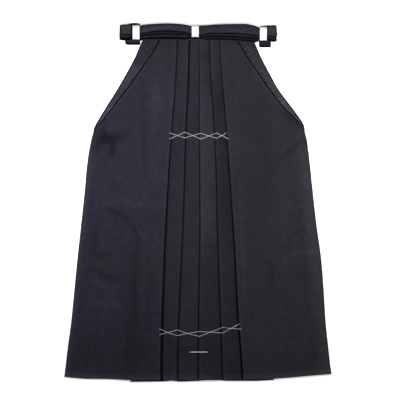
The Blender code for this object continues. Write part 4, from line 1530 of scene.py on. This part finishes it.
def on_cloth(tree, across, down):
    """A place of the photograph on top of the cloth."""
    x, y = picture_place(across, down)
    return Vector((x, y, top_at(tree, x, y)))


def thread_line(stops, tree, radius, over):
    """The middle line of a thread that lies on the cloth along straight stitches."""
    line = []
    for (x0, y0), (x1, y1) in zip(stops, stops[1:]):
        steps = max(int(math.hypot(x1 - x0, y1 - y0) / THREAD_STEP), 2)
        line += [on_cloth(tree, blend(x0, x1, i / steps), blend(y0, y1, i / steps)) for i in range(steps)]
    line.append(on_cloth(tree, *stops[-1]))
    eased = []
    for index, point in enumerate(line):
        near = line[max(index - THREAD_EASE, 0):index + THREAD_EASE + 1]
        height = max(point.z, sum(other.z for other in near) / len(near))
        eased.append(Vector((point.x, point.y, height + radius * (THREAD_REST + over))))
    for index, sink in THREAD_SINKS:
        eased[index].z -= radius * sink
    return eased


def build_thread(name, tree, over, look):
    """A basting thread of two twisted plies, laid over the cloth."""
    radius, tone = (STITCH_RADIUS, STITCH_TONE) if name == "basting_stitch" else (THREAD_RADIUS, 1.0)
    line = thread_line(THREADS[name], tree, radius, over)
    loops = []
    for index, point in enumerate(line):
        ahead = line[min(index + 1, len(line) - 1)] - line[max(index - 1, 0)]
        across = Vector((-ahead.y, ahead.x, 0.0)).normalized()
        upward = ahead.cross(across).normalized() * -1.0
        loop = []
        for side in range(THREAD_SIDES):
            angle = 2 * math.pi * side / THREAD_SIDES
            ply = 1.0 + THREAD_PLY * math.cos(2 * angle + index * THREAD_TWIST)
            loop.append(point + (across * math.cos(angle) + upward * math.sin(angle)) * radius * ply)
        loops.append(loop)
    return loft_solid(name, loops, [[tone] * THREAD_SIDES] * len(loops), look)


# Materials

NOISE_ROUGHNESS = 0.55
# The part of a noise's range that is mapped
NOISE_LIMITS = (0.25, 0.75)
WAVE_LOOK = {"Distortion": 0.6, "Detail": 1.0, "Detail_Scale": 2.0}


def new_material(name):
    """A material with its node tree and its shader."""
    made = bpy.data.materials.new(name)
    made.use_nodes = True
    return made, made.node_tree, made.node_tree.nodes["Principled BSDF"]


def add_node(tree, kind, **values):
    """A shader node with its inputs set by name."""
    node = tree.nodes.new(kind)
    for name, value in values.items():
        setattr(node, name, value)
    return node


def set_inputs(node, **values):
    """Set a node's inputs; underscores stand for spaces."""
    for name, value in values.items():
        node.inputs[name.replace("_", " ")].default_value = value


def math_node(tree, operation, first, second):
    """A maths node of two values or outputs."""
    node = add_node(tree, "ShaderNodeMath", operation=operation)
    for index, value in enumerate((first, second)):
        if isinstance(value, (int, float)):
            node.inputs[index].default_value = value
        else:
            tree.links.new(value, node.inputs[index])
    return node.outputs[0]


def product(tree, first, *others):
    """The product of several values or outputs."""
    result = first
    for value in others:
        result = math_node(tree, "MULTIPLY", result, value)
    return result


def straight(tree, value, slope, start):
    """A value times a slope, plus a start."""
    return math_node(tree, "ADD", product(tree, value, slope), start)


def map_range(tree, value, limits, **kind):
    """A value moved from one range to another. limits are from, to, least, most."""
    spread = add_node(tree, "ShaderNodeMapRange", **kind)
    tree.links.new(value, spread.inputs["Value"])
    for socket, limit in zip(("From Min", "From Max", "To Min", "To Max"), limits):
        spread.inputs[socket].default_value = limit
    return spread.outputs["Result"]


def object_place(tree):
    """The place on the object."""
    return add_node(tree, "ShaderNodeTexCoord").outputs["Object"]


def piece_tone(tree):
    """The tone that the piece's points carry: mostly painted light and shade, with some random patches."""
    tone = add_node(tree, "ShaderNodeAttribute", attribute_name="tone", attribute_type="GEOMETRY")
    return tone.outputs["Fac"]


def add_bump(tree, shader, height, strength, distance):
    """Bend the shader's normal by a height."""
    bump = add_node(tree, "ShaderNodeBump")
    set_inputs(bump, Strength=strength, Distance=distance)
    tree.links.new(height, bump.inputs["Height"])
    tree.links.new(bump.outputs["Normal"], shader.inputs["Normal"])


def noise_value(tree, vector, scale, detail, low, high):
    """Noise mapped to a range."""
    texture = add_node(tree, "ShaderNodeTexNoise")
    set_inputs(texture, Scale=scale, Detail=detail, Roughness=NOISE_ROUGHNESS)
    tree.links.new(vector, texture.inputs["Vector"])
    return map_range(tree, texture.outputs["Fac"], (*NOISE_LIMITS, low, high))


def wave_value(tree, vector, scale, direction):
    """Straight bands of threads."""
    texture = add_node(
        tree, "ShaderNodeTexWave", wave_type="BANDS", bands_direction=direction, wave_profile="SIN",
    )
    set_inputs(texture, Scale=scale, **WAVE_LOOK)
    tree.links.new(vector, texture.inputs["Vector"])
    return texture.outputs["Fac"]


# The cloths: colour, turn of the weave, mottle and its scale, pitch and strength of the twill
CLOTH_LOOKS = {
    "cloth_plain": ((0.0183, 0.0180, 0.0232), 0.0, 0.25, 420.0, 0.0018, 0.05),
    "cloth_turned_left": ((0.0183, 0.0180, 0.0240), -34.0, 0.70, 260.0, 0.0052, 0.45),
    "cloth_turned_right": ((0.0183, 0.0180, 0.0225), 34.0, 0.80, 240.0, 0.0052, 0.60),
    "cloth_straps": ((0.0185, 0.0192, 0.0262), 90.0, 0.55, 300.0, 0.0018, 0.05),
}
# Noises of the looks: scale, detail, least, most
SLOW_TONE = (7.0, 3.0, 0.92, 1.08)
CLOUDY_TONE = (75.0, 3.0, 0.84, 1.16)
THREAD_TONE = (1500.0, 2.0, 0.92, 1.08)
MOTTLE_DETAIL = 3.0
HUE_NOISE = (24.0, 2.0, -0.45, 1.95)
CLOTH_ROUGHNESS = (260.0, 2.0, 0.74, 0.90)
PAPER_TONE = (300.0, 4.0, 0.68, 0.72)
PAPER_FIBRES = (700.0, 3.0, 0.0, 1.0)
COTTON_TONE = (900.0, 2.0, 0.40, 0.52)
COTTON_PLIES = 90.0
# How much more blue than red there is in the paper and in the cotton
PAPER_BLUE = 1.02
COTTON_BLUE = 1.08
# The weave's share in the tone: slope, start
WEAVE_TONE = (0.24, 0.94)
# Bumps: strength, distance
CLOTH_BUMP = (0.55, 0.00010)
PAPER_BUMP = (0.25, 0.00008)
COTTON_BUMP = (0.5, 0.0001)
# What is the same all over each surface
CLOTH_SHADER = {
    "Specular_IOR_Level": 0.03, "Sheen_Weight": 0.004, "Sheen_Roughness": 0.55,
    "Sheen_Tint": (0.80, 0.82, 1.0, 1.0),
}
PAPER_SHADER = {"Roughness": 0.8, "Specular_IOR_Level": 0.3}
COTTON_SHADER = {"Roughness": 0.85}
THREAD_PITCH = 0.0009
# Painted light: the blue of a bluish light from the left fades to the right and towards the waist: from, to,
# blue there
BLUE_LIGHT_FADES = {"X": (-0.28, 0.14, 1.0, 0.0), "Y": (0.30, 0.42, 1.0, 0.25)}
HUE_GREEN = 0.985
HUE_BLUE = 1.22
WAVE_PERIOD = 2 * math.pi / 20.0


def cloth_colour(tree, place, vector, colour):
    """The cloth's colour, bluer in slow random patches, with painted blue light that fades to the right and
    towards the waist.
    """
    hue = noise_value(tree, vector, *HUE_NOISE)
    split = add_node(tree, "ShaderNodeSeparateXYZ")
    tree.links.new(place, split.inputs["Vector"])
    for axis, limits in BLUE_LIGHT_FADES.items():
        fade = map_range(tree, split.outputs[axis], limits, interpolation_type="SMOOTHSTEP")
        hue = product(tree, hue, fade)
    tint = add_node(tree, "ShaderNodeMix", data_type="RGBA", blend_type="MIX")
    tree.links.new(hue, tint.inputs["Factor"])
    tint.inputs["A"].default_value = (*colour, 1.0)
    tint.inputs["B"].default_value = (colour[0], colour[1] * HUE_GREEN, colour[2] * HUE_BLUE, 1.0)
    return tint.outputs["Result"]


def cloth_material(name):
    """Fine wool-like weave: warp and weft bumps, twill lines, slubs and slow tone changes."""
    colour, turn, mottle, grain, twill_pitch, twill_strength = CLOTH_LOOKS[name]
    made, tree, shader = new_material(name)
    place = object_place(tree)
    mapping = add_node(tree, "ShaderNodeMapping")
    mapping.inputs["Rotation"].default_value = (0.0, 0.0, math.radians(turn))
    tree.links.new(place, mapping.inputs["Vector"])
    vector = mapping.outputs["Vector"]
    warp, weft, twill = (
        wave_value(tree, vector, WAVE_PERIOD / pitch, direction)
        for pitch, direction in ((THREAD_PITCH, "X"), (THREAD_PITCH, "Y"), (twill_pitch, "Y"))
    )
    weave = product(tree, warp, weft)
    lines = straight(tree, twill, 2 * twill_strength, 1.0 - twill_strength)
    slow, cloudy, thread = (
        noise_value(tree, vector, *look) for look in (SLOW_TONE, CLOUDY_TONE, THREAD_TONE)
    )
    fine = noise_value(tree, vector, grain, MOTTLE_DETAIL, 1.0 - mottle, 1.0 + mottle)
    woven = straight(tree, weave, *WEAVE_TONE)
    factor = product(tree, slow, cloudy, fine, thread, lines, piece_tone(tree), woven)
    scaled = add_node(tree, "ShaderNodeVectorMath", operation="SCALE")
    tree.links.new(cloth_colour(tree, place, vector, colour), scaled.inputs[0])
    tree.links.new(factor, scaled.inputs["Scale"])
    tree.links.new(scaled.outputs["Vector"], shader.inputs["Base Color"])
    tree.links.new(noise_value(tree, vector, *CLOTH_ROUGHNESS), shader.inputs["Roughness"])
    height = math_node(tree, "ADD", weave, math_node(tree, "ADD", thread, twill))
    add_bump(tree, shader, height, *CLOTH_BUMP)
    set_inputs(shader, **CLOTH_SHADER)
    return made


def near_white(tree, shader, place, look, blue):
    """Colour a shader nearly white, with the piece's tone and a little more blue."""
    value = product(tree, noise_value(tree, place, *look), piece_tone(tree))
    colour = add_node(tree, "ShaderNodeCombineColor")
    for channel, level in (("Red", value), ("Green", value), ("Blue", product(tree, value, blue))):
        tree.links.new(level, colour.inputs[channel])
    tree.links.new(colour.outputs["Color"], shader.inputs["Base Color"])


def paper_material():
    """Matt white paper with faint fibres."""
    made, tree, shader = new_material("white_paper")
    place = object_place(tree)
    near_white(tree, shader, place, PAPER_TONE, PAPER_BLUE)
    add_bump(tree, shader, noise_value(tree, place, *PAPER_FIBRES), *PAPER_BUMP)
    set_inputs(shader, **PAPER_SHADER)
    return made


def thread_material():
    """White cotton basting thread with its twist."""
    made, tree, shader = new_material("basting_thread")
    place = object_place(tree)
    near_white(tree, shader, place, COTTON_TONE, COTTON_BLUE)
    add_bump(tree, shader, wave_value(tree, place, COTTON_PLIES, "DIAGONAL"), *COTTON_BUMP)
    set_inputs(shader, **COTTON_SHADER)
    return made


FLOOR_SHADER = {
    "Base_Color": (0.92, 0.92, 0.92, 1.0), "Roughness": 0.9, "Specular_IOR_Level": 0.1,
    "Emission_Color": (1.0, 1.0, 1.0, 1.0), "Emission_Strength": 0.45,
}
FLOOR_HALF = 6.0
FLOOR_DROP = 0.0004
FARTHEST = 40.0


def floor_material():
    """Plain pale floor, lit through a little like a photographer's light table."""
    made, _, shader = new_material("floor")
    set_inputs(shader, **FLOOR_SHADER)
    return made


# Stage

def area_light(name, place, aim, size, power, colour):
    """A soft rectangular light aimed at a point."""
    data = bpy.data.lights.new(name, "AREA")
    data.shape = "RECTANGLE"
    data.size, data.size_y = size
    data.energy = power
    data.color = colour
    lamp = bpy.data.objects.new(name, data)
    bpy.context.scene.collection.objects.link(lamp)
    lamp.location = place
    lamp.visible_camera = False
    lamp.rotation_euler = (Vector(aim) - Vector(place)).to_track_quat("-Z", "Y").to_euler()
    return lamp


WORLD_STRENGTH = 0.13
LIGHT_COLUMNS = ("place", "aim", "size", "power", "colour")
LIGHTS = {
    "overhead": ((0.0, 0.185, 0.80), (0.0, 0.165, 0.0), (1.5, 0.35), 13.0, (1.0, 0.99, 0.98)),
    "waist": ((0.0, 1.20, 0.75), (0.0, 0.25, 0.0), (1.8, 0.5), 4.0, (1.0, 0.99, 0.98)),
    "left": ((-1.5, 0.45, 0.65), (-0.2, 0.15, 0.0), (1.0, 0.6), 3.6, (0.62, 0.80, 1.0)),
    "right": ((1.5, 0.05, 0.50), (0.25, 0.0, 0.0), (1.2, 0.4), 5.3, (1.0, 0.93, 0.80)),
}


def build_stage():
    """Floor, light and camera."""
    mesh = bpy.data.meshes.new("floor")
    corners = [(x * FLOOR_HALF, y * FLOOR_HALF, 0.0) for x, y in ((-1, -1), (1, -1), (1, 1), (-1, 1))]
    mesh.from_pydata(corners, [], [(0, 1, 2, 3)])
    mesh.materials.append(floor_material())
    floor = bpy.data.objects.new("floor", mesh)
    floor.location.z = -FLOOR_DROP
    bpy.context.scene.collection.objects.link(floor)
    world = bpy.data.worlds.new("studio")
    world.use_nodes = True
    background = world.node_tree.nodes["Background"]
    background.inputs["Color"].default_value = (1.0, 1.0, 1.0, 1.0)
    background.inputs["Strength"].default_value = WORLD_STRENGTH
    bpy.context.scene.world = world
    for name, row in LIGHTS.items():
        area_light(name, **dict(zip(LIGHT_COLUMNS, row)))
    x, y = picture_place(PICTURE_MIDDLE, PICTURE_MIDDLE)
    data = bpy.data.cameras.new("camera")
    data.type = "PERSP"
    data.sensor_width = SENSOR
    data.lens = SENSOR * CAMERA_HEIGHT / (2 * PICTURE_MIDDLE * PIXEL)
    data.clip_end = FARTHEST
    data.dof.use_dof = False
    camera = bpy.data.objects.new("camera", data)
    camera.location = (x, y, CAMERA_HEIGHT)
    bpy.context.scene.collection.objects.link(camera)
    bpy.context.scene.camera = camera
    bpy.context.scene.view_settings.view_transform = "Standard"


SIDES = (("left", -1), ("right", 1))


def build_garment():
    """Every piece of the garment."""
    looks = {name: cloth_material(name) for name in CLOTH_LOOKS}
    cloth, strap = looks["cloth_plain"], looks["cloth_straps"]
    paper = paper_material()
    white = thread_material()
    fronts = [build_front(f"front_{word}", side, cloth) for word, side in SIDES]
    for word, side in SIDES:
        build_side_pleat(f"side_pleat_{word}", side, looks[f"cloth_turned_{word}"])
    for word, side in SIDES:
        build_back(f"back_{word}", side, cloth)
    for word, side in SIDES:
        build_inner_leg(f"inner_leg_{word}", side, cloth)
    build_gusset(cloth)
    for name in BANDS:
        build_band(name, cloth)
    build_strap_core(strap)
    for name in FRONT_STRAPS:
        build_front_strap(name, strap)
    for name in LOOPS:
        build_loop(name, strap)
    for name in BACK_STRAPS:
        build_back_strap(name, strap)
    for name in PAPER_BANDS:
        build_paper_band(name, paper)
    tree = surface_over(fronts)
    for order, name in enumerate(THREADS):
        build_thread(name, tree, order % 2 * THREAD_OVER, white)


build_stage()
build_garment()
